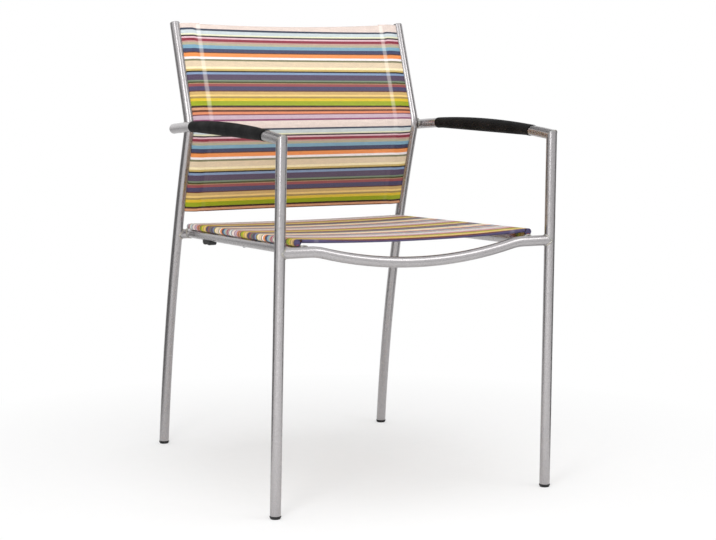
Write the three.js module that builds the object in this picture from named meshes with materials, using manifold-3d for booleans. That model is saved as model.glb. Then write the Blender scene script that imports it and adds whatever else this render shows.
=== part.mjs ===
// Stackable armchair of bent steel tube with a fabric sling seat and a fabric sling back.
// Millimetres, +Z up, floor at zero. The sitter looks towards -Y, and left and right are as seen
// from in front of the chair, so left is -X. Setbacks are measured backwards from the front feet.

import * as THREE from 'three';
import { mergeVertices } from 'three/addons/utils/BufferGeometryUtils.js';
import Module from 'manifold-3d';

const wasm = await Module();
wasm.setup();

// Tube stock and fits
const tubeDiameter = 19;
const tubeWall = 1.5;
const fitGap = 0.3; // between pieces that seat on each other
const cutOverrun = 5; // how far a cutter runs past what it cuts

// Overall frame
const overallHeight = 850;
const armHeight = 643.5; // arm axis at the front corner
const armHalfWidth = 259.5;
const armRiseHeight = 11.4; // arch of the arm above its two ends
const armTailLength = 34; // arm's tail behind the post's bend
const cornerAdvanceLength = 20.2; // front corner ahead of the front foot
const frontFootHalfWidth = 266.3;

// Rear posts: a curved leg below, a sharp bend at the arm, a straight raked upper part
const rearFootHalfWidth = 245.5;
const rearFootSetback = 642.3;
const legBulgeDepth = 21.4; // how far the lower leg bows back from its chord
const bendSetback = 480.8;
const bendRiseHeight = 5.7; // bend above the height of the arm's ends
const bendTrimLength = 14; // length of tube that the bend takes on each side
const postRake = THREE.MathUtils.degToRad(21.4);
const postSpreadWidth = 0.6; // upper ends further out than the bend

// Rails below the seat
const railHeight = 455.1;
const railBowHalfWidth = 194; // half width at which the front rail kinks into its bow
const railBowDepth = 26.2;
const railBowBlendLength = 12;
const rearRailHeight = 435.7;
const sideRailHalfWidth = 217;
const sideRailRiseHeight = 1.5; // side rails sit this much above the cross rails

// Seat sling and its rods
const rodDiameter = 9.5;
const rodOutsetWidth = 7; // rods further out than the side rails
const rodFrontLength = 0.5; // rod's end ahead of the front feet, just inside its pocket
const rodRearSetback = 537;
const fabricThickness = 0.95;
const seatFrontLength = 4;
const seatRearSetback = 524;
const seatFrontSagDepth = 4.5;
const seatRearSagDepth = 1;
const hemWidth = 38; // folded strip along each rod
const hemDepth = 20; // folded strip along the front and rear edges
const hemStepWidth = 1.2; // width over which the fold's edge steps down
const frontRollDepth = 6; // rolled front edge, measured backwards
const frontRollHeight = 5.6;
const pocketTuckDepth = 0.25; // panel's face below the top of its pockets
const pocketInsetLength = 0.8; // pockets shorter than the panel at each end

// Back sling and its keder rods inside the slotted posts
const kederDiameter = 5;
const kederInsetLength = 3; // keder rod shorter than its pocket at each end
const slotWidth = 3;
const slotTurn = THREE.MathUtils.degToRad(30); // slot turned inwards from straight ahead
const backDrainGap = 47.3; // back sling's lower edge above the rear rail's axis
const backTopGap = 2; // sling ends this far below the post's end
const backTopSagDepth = 8;
const backBottomSagDepth = 1.5;
const backSlackDepth = 4; // how far the middle hangs behind the posts' line
const backStandOffGap = 0.6; // sling clear of the tube's front

// Arm pads
const padDiameter = 22;
const padFrontSetback = 48;
const padRearSetback = 408;
const padSlantLength = 14; // top edge longer than the bottom edge at the front

// Feet, plugs and caps
const glideHeight = 5.3;
const glideTopDiameter = 20.3;
const glideBottomDiameter = 17.4;
const glideRimHeight = 1.6; // straight edge above the taper
const stemLength = 14;
const plugThickness = 1;
const capThickness = 1.6;
const edgeRadius = 0.5;

// Screws and stacking bumpers
const screwDiameter = 5;
const screwHeadDiameter = 8.4;
const screwHeadHeight = 2.6;
const screwBiteDepth = 1.5; // screw end beyond the middle of the rod
const screwShares = { front: 0.12, middle: 0.5, rear: 0.88 }; // places along the rod
const bumperSetback = 441;
const bumperLength = 44;
const bumperWidth = 12;
const bumperWebThickness = 2.5;
const bumperLobeDepth = 4.7;
const bumperSaddleHeight = 3.5; // how far the saddle climbs beside the rail
const bumperScrewDiameter = 4;
const bumperScrewHeadDiameter = 7.5;
const bumperScrewHeadHeight = 2.2;

// Mesh fineness
const tubeSides = 16;
const rodSides = 10;
const bendSteps = 5;
const legSteps = 11;
const armSteps = 10;
const bowSteps = 12;
const slingColumns = 8;
const slingRows = 10;

// Sizes that follow
const tubeRadius = tubeDiameter / 2;
const boreRadius = tubeRadius - tubeWall;
const rodRadius = rodDiameter / 2;
const pocketRadius = rodRadius + fitGap + fabricThickness;
const kederRadius = kederDiameter / 2;
const kederPocketRadius = kederRadius + fitGap + fabricThickness;
const kederOffset = boreRadius - fitGap - kederPocketRadius;
const kederFront = kederOffset * Math.cos(slotTurn);
const kederInward = kederOffset * Math.sin(slotTurn);
const bendHalfWidth = armHalfWidth - tubeDiameter - fitGap;
const bendHeight = armHeight + bendRiseHeight;
const postEndHeight = overallHeight - (plugThickness + fitGap) * Math.cos(postRake)
  - tubeRadius * Math.sin(postRake);
const armTailSetback = bendSetback + armTailLength;
const armSpan = armTailSetback + cornerAdvanceLength;
const rodHalfWidth = sideRailHalfWidth + rodOutsetWidth;
const rodDistance = tubeRadius + pocketRadius + fitGap;
const rodRise = Math.sqrt(rodDistance ** 2 - rodOutsetWidth ** 2);
const tubeBottom = glideHeight + fitGap;
const backBottomHeight = rearRailHeight + backDrainGap;

const ahead = new THREE.Vector3(0, -1, 0);
const upward = new THREE.Vector3(0, 0, 1);

// Radius of a cutter whose flat sides clear a round of this radius
function clearRadius(radius, sides) {
  return radius / Math.cos(Math.PI / sides);
}

function solidOf(geometry) {
  const bare = geometry.clone();
  bare.deleteAttribute('normal');
  bare.deleteAttribute('uv');
  const merged = mergeVertices(bare);
  return new wasm.Manifold(new wasm.Mesh({
    numProp: 3,
    vertProperties: Float32Array.from(merged.attributes.position.array),
    triVerts: Uint32Array.from(merged.index.array),
  }));
}

function geometryOf(solid) {
  const mesh = solid.getMesh();
  const geometry = new THREE.BufferGeometry();
  geometry.setAttribute('position', new THREE.BufferAttribute(mesh.vertProperties, 3));
  geometry.setIndex(new THREE.BufferAttribute(mesh.triVerts, 1));
  geometry.computeVertexNormals();
  return geometry;
}

// A route for a swept section, held as stations that each know their own section axes
class StationPath extends THREE.Curve {
  constructor(stations) {
    super();
    this.stations = stations;
  }

  getPoint(share) {
    const last = this.stations.length - 1;
    return this.stations[Math.round(share * last)].point.clone();
  }

  getSpacedPoints() {
    return this.stations.map((station) => station.point.clone());
  }

  computeFrenetFrames() {
    return {
      tangents: this.stations.map((station) => station.direction),
      normals: this.stations.map((station) => station.front),
      binormals: this.stations.map((station) => station.side),
    };
  }
}

function stationAt(point, direction, frontHint) {
  const lean = frontHint.dot(direction);
  const front = frontHint.clone().addScaledVector(direction, -lean).normalize();
  const side = direction.clone().cross(front);
  return { point, direction, front, side };
}

// Stations along flat curves that follow each other, raised into space by a placing function
function stationsAlong(pieces, place, frontHint) {
  const stations = [];
  for (const { curve, steps, from = 0, to = 1 } of pieces) {
    for (let i = stations.length === 0 ? 0 : 1; i <= steps; i += 1) {
      const share = from + (to - from) * i / steps;
      const flat = curve.getPoint(share);
      const point = place(flat);
      const next = place(flat.clone().add(curve.getTangent(share)));
      const direction = next.sub(point).normalize();
      stations.push(stationAt(point, direction, frontHint));
    }
  }
  return stations;
}

function straightStations(start, end, frontHint) {
  const direction = end.clone().sub(start).normalize();
  return [start, end].map((point) => stationAt(point.clone(), direction, frontHint));
}

// The same route moved over by fixed amounts along each station's own axes
function offsetStations(stations, front, side) {
  return stations.map((station) => ({
    ...station,
    point: station.point.clone()
      .addScaledVector(station.front, front)
      .addScaledVector(station.side, side),
  }));
}

function discShape(radius) {
  return new THREE.Shape().absarc(0, 0, radius, 0, 2 * Math.PI);
}

function ringShape(outer, inner) {
  const shape = discShape(outer);
  shape.holes.push(new THREE.Path().absarc(0, 0, inner, 0, 2 * Math.PI));
  return shape;
}

// A strip that runs from the section's middle in a turned direction
function stripShape(length, width, turn) {
  const along = new THREE.Vector2(Math.cos(turn), Math.sin(turn));
  const across = new THREE.Vector2(-along.y, along.x).multiplyScalar(width / 2);
  const end = along.multiplyScalar(length);
  return new THREE.Shape([
    across.clone().negate(),
    end.clone().sub(across),
    end.clone().add(across),
    across.clone(),
  ]);
}

function sweep(shape, stations, sides = tubeSides) {
  const route = new StationPath(stations);
  const settings = { steps: stations.length - 1, curveSegments: sides / 2, extrudePath: route };
  return solidOf(new THREE.ExtrudeGeometry(shape, settings));
}

function hollowTube(stations) {
  return sweep(ringShape(tubeRadius, clearRadius(boreRadius, tubeSides)), stations);
}

// The solid that clears a tube laid along the route by the fitting gap
function tubeClearance(stations) {
  return sweep(discShape(clearRadius(tubeRadius + fitGap, tubeSides)), stations);
}

// Everything near a point on the far side of a plane through it
function beyondPlane(point, normal) {
  const size = 4 * tubeDiameter;
  const box = new THREE.BoxGeometry(size, size, size);
  const turn = new THREE.Quaternion().setFromUnitVectors(upward, normal);
  box.translate(0, 0, size / 2);
  box.applyQuaternion(turn);
  box.translate(point.x, point.y, point.z);
  return solidOf(box);
}

// A revolved solid, its profile given as radius and height pairs from axis to axis
function turned(profile, sides = tubeSides) {
  const outline = profile.map(([radius, height]) => new THREE.Vector2(radius, height));
  const lathe = new THREE.LatheGeometry(outline, sides);
  return lathe.rotateX(Math.PI / 2);
}

// Stands a turned piece on a point with its axis along a direction
function placeTurned(geometry, point, direction) {
  const turn = new THREE.Quaternion().setFromUnitVectors(upward, direction);
  geometry.applyQuaternion(turn);
  geometry.translate(point.x, point.y, point.z);
  return solidOf(geometry);
}

// Materials
const steel = { color: 0xb9bcbd, roughness: 0.34, metalness: 1 };
const screwSteel = { color: 0x9fa2a3, roughness: 0.3, metalness: 1 };
const blackSleeve = { color: 0x17181a, roughness: 0.75, metalness: 0 };
const blackPlastic = { color: 0x101012, roughness: 0.55, metalness: 0 };
const kederPlastic = { color: 0xe6e4dc, roughness: 0.5, metalness: 0 };
const wovenSling = { color: 0xa98f72, roughness: 0.85, metalness: 0 };

// Front leg routes

function legPointAt(side, height) {
  const share = height / armHeight;
  const halfWidth = frontFootHalfWidth + (armHalfWidth - frontFootHalfWidth) * share;
  return new THREE.Vector3(side * halfWidth, -cornerAdvanceLength * share, height);
}

function legStations(side) {
  return straightStations(legPointAt(side, 0), legPointAt(side, armHeight + tubeDiameter), ahead);
}

// Arm routes: one flat arch in a vertical plane

const archRadius = (armSpan ** 2 / 4 + armRiseHeight ** 2) / (2 * armRiseHeight);
const archMiddle = (armTailSetback - cornerAdvanceLength) / 2;

function armStations(side, fromSetback, toSetback, steps) {
  const angleOf = (setback) => Math.PI / 2 - Math.asin((setback - archMiddle) / archRadius);
  const curve = new THREE.EllipseCurve(
    archMiddle,
    armHeight + armRiseHeight - archRadius,
    archRadius,
    archRadius,
    angleOf(fromSetback),
    angleOf(toSetback),
    true,
  );
  const place = (flat) => new THREE.Vector3(side * armHalfWidth, flat.x, flat.y);
  return stationsAlong([{ curve, steps }], place, upward);
}

// Rear post routes, drawn in side view as setback and height

const bendPoint = new THREE.Vector2(bendSetback, bendHeight);
const postFoot = new THREE.Vector2(rearFootSetback, 0);
const postEnd = new THREE.Vector2(
  bendSetback + (postEndHeight - bendHeight) * Math.tan(postRake),
  postEndHeight,
);
const legControl = postFoot.clone().add(bendPoint).multiplyScalar(1 / 2);
legControl.x += 2 * legBulgeDepth;
const lowerCurve = new THREE.QuadraticBezierCurve(postFoot, legControl, bendPoint);
const bendStartShare = 1 - bendTrimLength / bendHeight;
const upperDirection = postEnd.clone().sub(bendPoint).normalize();
const upperStart = bendPoint.clone().addScaledVector(upperDirection, bendTrimLength);

function postHalfWidthAt(height) {
  if (height < bendHeight) {
    const share = height / bendHeight;
    return rearFootHalfWidth + (bendHalfWidth - rearFootHalfWidth) * share;
  }
  const share = (height - bendHeight) / (postEndHeight - bendHeight);
  return bendHalfWidth + postSpreadWidth * share;
}

// From a height on the lower leg to a distance past the post's end, negative when short of it
function postStations(side, fromHeight, pastEnd) {
  const stop = postEnd.clone().addScaledVector(upperDirection, pastEnd);
  const bend = new THREE.QuadraticBezierCurve(
    lowerCurve.getPoint(bendStartShare),
    bendPoint,
    upperStart,
  );
  const reach = 1 - fromHeight / bendHeight;
  const lowerSteps = Math.max(1, Math.ceil(legSteps * reach));
  const pieces = [
    { curve: lowerCurve, steps: lowerSteps, from: fromHeight / bendHeight, to: bendStartShare },
    { curve: bend, steps: bendSteps },
    { curve: new THREE.LineCurve(upperStart, stop), steps: 1 },
  ];
  const place = (flat) => new THREE.Vector3(side * postHalfWidthAt(flat.y), flat.x, flat.y);
  return stationsAlong(pieces, place, ahead);
}

// Cross rail routes

function frontRailStations() {
  const reach = legPointAt(1, railHeight);
  const bowRadius = (railBowHalfWidth ** 2 + railBowDepth ** 2) / (2 * railBowDepth);
  const bowAngle = Math.asin((railBowHalfWidth - railBowBlendLength) / bowRadius);
  const bow = new THREE.EllipseCurve(
    0,
    railHeight - railBowDepth + bowRadius,
    bowRadius,
    bowRadius,
    -Math.PI / 2 - bowAngle,
    -Math.PI / 2 + bowAngle,
    false,
  );
  const kinkLeft = new THREE.Vector2(-railBowHalfWidth, railHeight);
  const kinkRight = new THREE.Vector2(railBowHalfWidth, railHeight);
  const stubLeft = new THREE.Vector2(-railBowHalfWidth - railBowBlendLength, railHeight);
  const stubRight = new THREE.Vector2(railBowHalfWidth + railBowBlendLength, railHeight);
  const endLeft = new THREE.Vector2(-reach.x, railHeight);
  const endRight = new THREE.Vector2(reach.x, railHeight);
  const pieces = [
    { curve: new THREE.LineCurve(endLeft, stubLeft), steps: 1 },
    { curve: new THREE.QuadraticBezierCurve(stubLeft, kinkLeft, bow.getPoint(0)), steps: bendSteps },
    { curve: bow, steps: bowSteps },
    { curve: new THREE.QuadraticBezierCurve(bow.getPoint(1), kinkRight, stubRight), steps: bendSteps },
    { curve: new THREE.LineCurve(stubRight, endRight), steps: 1 },
  ];
  return stationsAlong(pieces, (flat) => new THREE.Vector3(flat.x, reach.y, flat.y), upward);
}

function postPointAt(side, height) {
  const flat = lowerCurve.getPoint(height / bendHeight);
  return new THREE.Vector3(side * postHalfWidthAt(height), flat.x, flat.y);
}

function rearRailStations() {
  const left = postPointAt(-1, rearRailHeight);
  const right = postPointAt(1, rearRailHeight);
  return straightStations(left, right, upward);
}

// Side rail and rod routes

const sideRailFront = legPointAt(1, railHeight).y;
const sideRailRear = postPointAt(1, rearRailHeight).y;

function sideRailPointAt(side, setback) {
  const share = (setback - sideRailFront) / (sideRailRear - sideRailFront);
  const height = railHeight + (rearRailHeight - railHeight) * share + sideRailRiseHeight;
  return new THREE.Vector3(side * sideRailHalfWidth, setback, height);
}

function sideRailStations(side) {
  const start = sideRailPointAt(side, sideRailFront);
  const end = sideRailPointAt(side, sideRailRear);
  return straightStations(start, end, upward);
}

function rodPointAt(side, setback) {
  const rail = sideRailStations(side)[0];
  const point = sideRailPointAt(side, setback);
  point.addScaledVector(rail.front, rodRise);
  point.x += side * rodOutsetWidth;
  return point;
}

function rodStations(side, fromSetback, toSetback) {
  return straightStations(rodPointAt(side, fromSetback), rodPointAt(side, toSetback), upward);
}

// Frame tubes

const frontCorner = (side) => legPointAt(side, armHeight);

function cornerNormal(side) {
  const down = legPointAt(side, 0).sub(frontCorner(side)).normalize();
  const back = armStations(side, -cornerAdvanceLength, armTailSetback, armSteps)[0].direction;
  return back.clone().sub(down).normalize();
}

function frontLeg(side) {
  const normal = cornerNormal(side);
  const edge = frontCorner(side).addScaledVector(normal, -fitGap / 2);
  const floorCut = legPointAt(side, tubeBottom);
  return hollowTube(legStations(side))
    .subtract(beyondPlane(edge, normal))
    .subtract(beyondPlane(floorCut, upward.clone().negate()));
}

function armRail(side) {
  const normal = cornerNormal(side).negate();
  const edge = frontCorner(side).addScaledVector(normal, -fitGap / 2);
  const overrun = -cornerAdvanceLength - tubeDiameter;
  return hollowTube(armStations(side, overrun, armTailSetback, armSteps))
    .subtract(beyondPlane(edge, normal));
}

function inwardTurn(side) {
  return -side * slotTurn;
}

function postSlot(side) {
  const strip = stripShape(tubeRadius + cutOverrun, slotWidth, inwardTurn(side));
  return sweep(strip, postStations(side, backBottomHeight - fitGap, cutOverrun));
}

function rearPost(side) {
  const floorCut = postPointAt(side, tubeBottom);
  return hollowTube(postStations(side, 0, 0))
    .subtract(postSlot(side))
    .subtract(beyondPlane(floorCut, upward.clone().negate()));
}

function frontCrossRail() {
  return hollowTube(frontRailStations())
    .subtract(tubeClearance(legStations(-1)))
    .subtract(tubeClearance(legStations(1)));
}

function rearCrossRail() {
  return hollowTube(rearRailStations())
    .subtract(tubeClearance(postStations(-1, 0, 0)))
    .subtract(tubeClearance(postStations(1, 0, 0)));
}

// Screws that hold each seat rod down on its side rail

function screwFrame(side, share) {
  const setback = rodRearSetback * share - rodFrontLength * (1 - share);
  const rail = sideRailPointAt(side, setback);
  const axis = rodPointAt(side, setback).sub(rail).normalize();
  return { rail, axis };
}

function screwHoles(side) {
  const reach = rodDistance + screwBiteDepth + fitGap;
  const radius = clearRadius(screwDiameter / 2 + fitGap, rodSides);
  return Object.values(screwShares).map((share) => {
    const { rail, axis } = screwFrame(side, share);
    const start = rail.clone().addScaledVector(axis, -tubeRadius - cutOverrun);
    const end = rail.clone().addScaledVector(axis, reach);
    return sweep(discShape(radius), straightStations(start, end, ahead), rodSides);
  });
}

function withoutAll(solid, cutters) {
  return cutters.reduce((left, cutter) => left.subtract(cutter), solid);
}

function screwSolid(point, axis, diameter, headDiameter, headHeight, length) {
  const profile = [
    [0, -headHeight],
    [headDiameter / 4, -headHeight],
    [headDiameter / 2, -headHeight / 2],
    [headDiameter / 2, 0],
    [diameter / 2, 0],
    [diameter / 2, length],
    [0, length],
  ];
  return placeTurned(turned(profile, rodSides), point, axis);
}

function seatRodScrew(side, share) {
  const { rail, axis } = screwFrame(side, share);
  const seat = tubeRadius + fitGap;
  const point = rail.clone().addScaledVector(axis, -seat);
  const length = seat + rodDistance + screwBiteDepth;
  return screwSolid(point, axis, screwDiameter, screwHeadDiameter, screwHeadHeight, length);
}

// Stacking bumpers under the side rails, each two lobes with a screw between them

function bumperFrame(side) {
  const rail = sideRailStations(side)[0];
  const point = sideRailPointAt(side, bumperSetback);
  return { point, down: rail.front.clone().negate(), along: rail.direction };
}

function bumperScrewHole(side) {
  const { point, down } = bumperFrame(side);
  const radius = clearRadius(bumperScrewDiameter / 2 + fitGap, rodSides);
  const end = point.clone().addScaledVector(down, tubeRadius + bumperWebThickness + cutOverrun);
  return sweep(discShape(radius), straightStations(point, end, ahead), rodSides);
}

function sideRail(side) {
  const tube = hollowTube(sideRailStations(side))
    .subtract(tubeClearance(frontRailStations()))
    .subtract(tubeClearance(rearRailStations()))
    .subtract(bumperScrewHole(side));
  return withoutAll(tube, screwHoles(side));
}

function bumperOutline() {
  const half = bumperLength / 2;
  const quarter = bumperLength / 4;
  const top = tubeRadius + fitGap - bumperSaddleHeight;
  const valley = tubeRadius + fitGap + bumperWebThickness;
  const outline = new THREE.Shape();
  outline.moveTo(top, -half);
  outline.lineTo(valley, -half);
  outline.absellipse(valley, -quarter, bumperLobeDepth, quarter, -Math.PI / 2, Math.PI / 2, false);
  outline.absellipse(valley, quarter, bumperLobeDepth, quarter, -Math.PI / 2, Math.PI / 2, false);
  outline.lineTo(top, half);
  return outline;
}

function stackingBumper(side) {
  const { point, down, along } = bumperFrame(side);
  const block = new THREE.ExtrudeGeometry(bumperOutline(), {
    depth: bumperWidth,
    steps: 1,
    curveSegments: rodSides / 2,
    bevelEnabled: false,
  });
  block.translate(0, 0, -bumperWidth / 2);
  const axes = new THREE.Matrix4().makeBasis(down, along, down.clone().cross(along));
  block.applyMatrix4(axes);
  block.translate(point.x, point.y, point.z);
  const headRadius = clearRadius(bumperScrewHeadDiameter / 2 + fitGap, rodSides);
  const headSeat = point.clone().addScaledVector(down, tubeRadius + fitGap + bumperWebThickness);
  const headEnd = headSeat.clone().addScaledVector(down, bumperLobeDepth + cutOverrun);
  const counterbore = straightStations(headSeat, headEnd, ahead);
  return solidOf(block)
    .subtract(tubeClearance(sideRailStations(side)))
    .subtract(bumperScrewHole(side))
    .subtract(sweep(discShape(headRadius), counterbore, rodSides));
}

function bumperScrew(side) {
  const { point, down } = bumperFrame(side);
  const seat = point.clone().addScaledVector(down, tubeRadius + fitGap * 2 + bumperWebThickness);
  const length = bumperWebThickness + tubeWall * 2 + fitGap * 2;
  return screwSolid(
    seat,
    down.clone().negate(),
    bumperScrewDiameter,
    bumperScrewHeadDiameter,
    bumperScrewHeadHeight,
    length,
  );
}

// Closed shell between an upper and a lower grid of points, rows by columns
function shellSolid(upper, lower) {
  const rows = upper.length;
  const columns = upper[0].length;
  const points = [...upper.flat(), ...lower.flat()];
  const top = (row, column) => row * columns + column;
  const bottom = (row, column) => rows * columns + top(row, column);
  const triangles = [];
  const quad = (a, b, c, d) => triangles.push(a, b, c, a, c, d);
  for (let row = 0; row + 1 < rows; row += 1) {
    for (let column = 0; column + 1 < columns; column += 1) {
      quad(top(row, column), top(row, column + 1), top(row + 1, column + 1), top(row + 1, column));
      quad(
        bottom(row, column),
        bottom(row + 1, column),
        bottom(row + 1, column + 1),
        bottom(row, column + 1),
      );
    }
  }
  for (let row = 0; row + 1 < rows; row += 1) {
    const last = columns - 1;
    quad(top(row, 0), top(row + 1, 0), bottom(row + 1, 0), bottom(row, 0));
    quad(top(row + 1, last), top(row, last), bottom(row, last), bottom(row + 1, last));
  }
  for (let column = 0; column + 1 < columns; column += 1) {
    const last = rows - 1;
    quad(top(0, column + 1), top(0, column), bottom(0, column), bottom(0, column + 1));
    quad(top(last, column), top(last, column + 1), bottom(last, column + 1), bottom(last, column));
  }
  const geometry = new THREE.BufferGeometry().setFromPoints(points);
  geometry.setIndex(triangles);
  return solidOf(geometry);
}

// Places from one edge to the other, closer together where the folded strips step down
function foldedPlaces(start, end, fold, steps) {
  const inner = fold + hemStepWidth;
  const places = [start, start + fold];
  for (let i = 0; i <= steps; i += 1) {
    places.push(start + inner + (end - start - 2 * inner) * i / steps);
  }
  places.push(end - fold, end);
  return places;
}

function layersAt(place, start, end, fold) {
  const slack = hemStepWidth / 2;
  return place < start + fold + slack || place > end - fold - slack ? 2 : 1;
}

// Seat sling: a flat panel with a little sag, folded round both rods and rolled at its front edge

function seatPanel() {
  const left = -rodHalfWidth;
  const right = rodHalfWidth;
  const front = -seatFrontLength;
  const rear = seatRearSetback;
  const columns = foldedPlaces(left, right, hemWidth, slingColumns);
  const rows = foldedPlaces(front, rear, hemDepth, slingRows);
  rows.splice(1, 0, front + frontRollDepth, front + frontRollDepth + hemStepWidth);
  const upper = [];
  const lower = [];
  for (const setback of rows) {
    const share = (setback - front) / (rear - front);
    const sag = seatFrontSagDepth + (seatRearSagDepth - seatFrontSagDepth) * share;
    const edge = rodPointAt(1, setback).z + pocketRadius - pocketTuckDepth;
    upper.push(columns.map((x) => {
      const height = edge - sag * (1 - (x / right) ** 2);
      return new THREE.Vector3(x, setback, height);
    }));
    const rolled = setback < front + frontRollDepth + hemStepWidth / 2;
    const rowFolds = layersAt(setback, front, rear, hemDepth);
    lower.push(columns.map((x, i) => {
      const folds = Math.max(layersAt(x, left, right, hemWidth), rowFolds);
      const depth = rolled && Math.abs(x) < right ? frontRollHeight : folds * fabricThickness;
      return upper.at(-1)[i].clone().addScaledVector(upward, -depth);
    }));
  }
  return shellSolid(upper, lower);
}

function seatSling() {
  let fabric = seatPanel();
  for (const side of [-1, 1]) {
    const pocket = rodStations(
      side,
      pocketInsetLength - seatFrontLength,
      seatRearSetback - pocketInsetLength,
    );
    fabric = fabric.add(sweep(discShape(pocketRadius), pocket, tubeSides));
  }
  for (const side of [-1, 1]) {
    const bore = clearRadius(rodRadius + fitGap, rodSides);
    const route = rodStations(side, -seatFrontLength - cutOverrun, seatRearSetback + cutOverrun);
    fabric = fabric.subtract(sweep(discShape(bore), route, rodSides));
    fabric = withoutAll(fabric, screwHoles(side));
  }
  return fabric;
}

function seatRod(side) {
  const route = rodStations(side, -rodFrontLength, rodRearSetback);
  return withoutAll(sweep(discShape(rodRadius), route, rodSides), screwHoles(side));
}

// Back sling: follows the rear posts' line, with each edge in a post's slot round a keder rod

const panelFront = tubeRadius + backStandOffGap + fabricThickness;

// Where the sling's edge leaves the slot, as offsets inwards and forwards of the tube's axis
const slotMouth = tubeRadius + backStandOffGap;
const mouthInward = slotMouth * Math.sin(slotTurn);
const mouthFront = slotMouth * Math.cos(slotTurn);

function panelRow(leftStation, rightStation, columns) {
  const frontOf = (share) => leftStation.front.clone().lerp(rightStation.front, share).normalize();
  return columns.map(({ share, inward, front, slack, layers }) => {
    const normal = frontOf(share);
    const point = leftStation.point.clone().lerp(rightStation.point, share);
    point.x += inward;
    point.addScaledVector(normal, front - slack);
    return { point, normal, layers };
  });
}

// Columns of the back panel from the left post's axis to the right one's
function backColumns() {
  const span = 2 * bendHalfWidth;
  const edge = [
    { reach: kederInward, front: kederFront },
    { reach: mouthInward, front: mouthFront },
    { reach: mouthInward + tubeWall, front: panelFront - fabricThickness / 2 },
    { reach: hemWidth, front: panelFront },
  ];
  const columns = edge.map(({ reach, front }) => ({ reach, front, layers: 2 }));
  const start = hemWidth + hemStepWidth;
  columns.push({ reach: start, front: panelFront, layers: 1 });
  const inner = span - 2 * start;
  for (let i = 1; i < slingColumns; i += 1) {
    const reach = start + inner * i / slingColumns;
    columns.push({ reach, front: panelFront, layers: 1 });
  }
  const mirrored = columns.slice(0, edge.length + 1).reverse().map((column) => ({
    ...column,
    reach: span - column.reach,
  }));
  return [...columns, ...mirrored].map(({ reach, front, layers }) => {
    const near = reach < span / 2 ? reach : reach - span;
    const held = reach < tubeDiameter || reach > span - tubeDiameter;
    const across = 2 * reach / span - 1;
    const slack = held ? 0 : backSlackDepth * (1 - across ** 2);
    return held
      ? { share: reach < span / 2 ? 0 : 1, inward: near, front, slack, layers, across }
      : { share: reach / span, inward: 0, front, slack, layers, across };
  });
}

function backPanel() {
  const columns = backColumns();
  const left = postStations(-1, backBottomHeight, -backTopGap);
  const right = postStations(1, backBottomHeight, -backTopGap);
  const last = left.length - 1;
  const upper = [];
  const lower = [];
  left.forEach((station, row) => {
    const cells = panelRow(station, right[row], columns);
    const up = station.direction;
    cells.forEach((cell, i) => {
      const sag = 1 - columns[i].across ** 2;
      if (row === 0) {
        cell.point.addScaledVector(up, backBottomSagDepth * sag);
      }
      if (row === last) {
        cell.point.addScaledVector(up, -backTopSagDepth * sag);
      }
    });
    upper.push(cells.map(({ point, normal, layers }) => (
      point.clone().addScaledVector(normal, fabricThickness / 2 * layers)
    )));
    lower.push(cells.map(({ point, normal, layers }) => (
      point.clone().addScaledVector(normal, -fabricThickness / 2 * layers)
    )));
  });
  return shellSolid(upper, lower);
}

function kederStations(side, fromHeight, pastEnd) {
  return offsetStations(postStations(side, fromHeight, pastEnd), kederFront, -side * kederInward);
}

function backSling() {
  let fabric = backPanel();
  for (const side of [-1, 1]) {
    const start = backBottomHeight + pocketInsetLength;
    const route = kederStations(side, start, -backTopGap - pocketInsetLength);
    fabric = fabric.add(sweep(discShape(kederPocketRadius), route, rodSides));
  }
  for (const side of [-1, 1]) {
    const bore = clearRadius(kederRadius + fitGap, rodSides);
    const route = kederStations(side, backBottomHeight - cutOverrun, -backTopGap + cutOverrun);
    fabric = fabric.subtract(sweep(discShape(bore), route, rodSides));
  }
  return fabric;
}

function kederRod(side) {
  const route = kederStations(side, backBottomHeight + kederInsetLength, -backTopGap - kederInsetLength);
  return sweep(discShape(kederRadius), route, rodSides);
}

// Arm pads: a sleeve with a square rear end and a slanted front end
function armPad(side) {
  const start = padFrontSetback - padSlantLength / 2 - cutOverrun;
  const route = armStations(side, start, padRearSetback, armSteps);
  const bore = clearRadius(tubeRadius + fitGap, tubeSides);
  const cutPoint = armStations(side, padFrontSetback, padRearSetback, 1)[0];
  const slant = cutPoint.direction.clone().negate().multiplyScalar(padDiameter)
    .addScaledVector(cutPoint.front, -padSlantLength)
    .normalize();
  return sweep(ringShape(padDiameter / 2, bore), route)
    .subtract(beyondPlane(cutPoint.point, slant));
}

// Foot glides: a tapered foot with a stem up the tube
function footGlide(point, direction) {
  const foot = turned([
    [0, 0],
    [glideBottomDiameter / 2, 0],
    [glideTopDiameter / 2, glideHeight - glideRimHeight],
    [glideTopDiameter / 2, glideHeight],
    [0, glideHeight],
  ]);
  const stemStart = point.clone().addScaledVector(direction, -glideRimHeight);
  const stemEnd = point.clone().addScaledVector(direction, stemLength);
  const stem = straightStations(stemStart, stemEnd, ahead);
  foot.translate(point.x, point.y, 0);
  return solidOf(foot).add(sweep(discShape(boreRadius - fitGap), stem));
}

function frontGlide(side) {
  const point = legPointAt(side, glideHeight);
  return footGlide(point, legStations(side)[0].direction);
}

function rearGlide(side) {
  const point = postPointAt(side, glideHeight);
  return footGlide(point, postStations(side, glideHeight, 0)[0].direction);
}

// Plugs and caps for open tube ends: a flange with a rounded edge and a stem
function endPlug(point, direction, thickness) {
  const flange = [
    [0, -stemLength],
    [boreRadius - fitGap, -stemLength],
    [boreRadius - fitGap, fitGap],
    [tubeRadius, fitGap],
    [tubeRadius, fitGap + thickness - edgeRadius],
    [tubeRadius - edgeRadius, fitGap + thickness],
    [0, fitGap + thickness],
  ];
  return placeTurned(turned(flange), point, direction);
}

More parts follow.
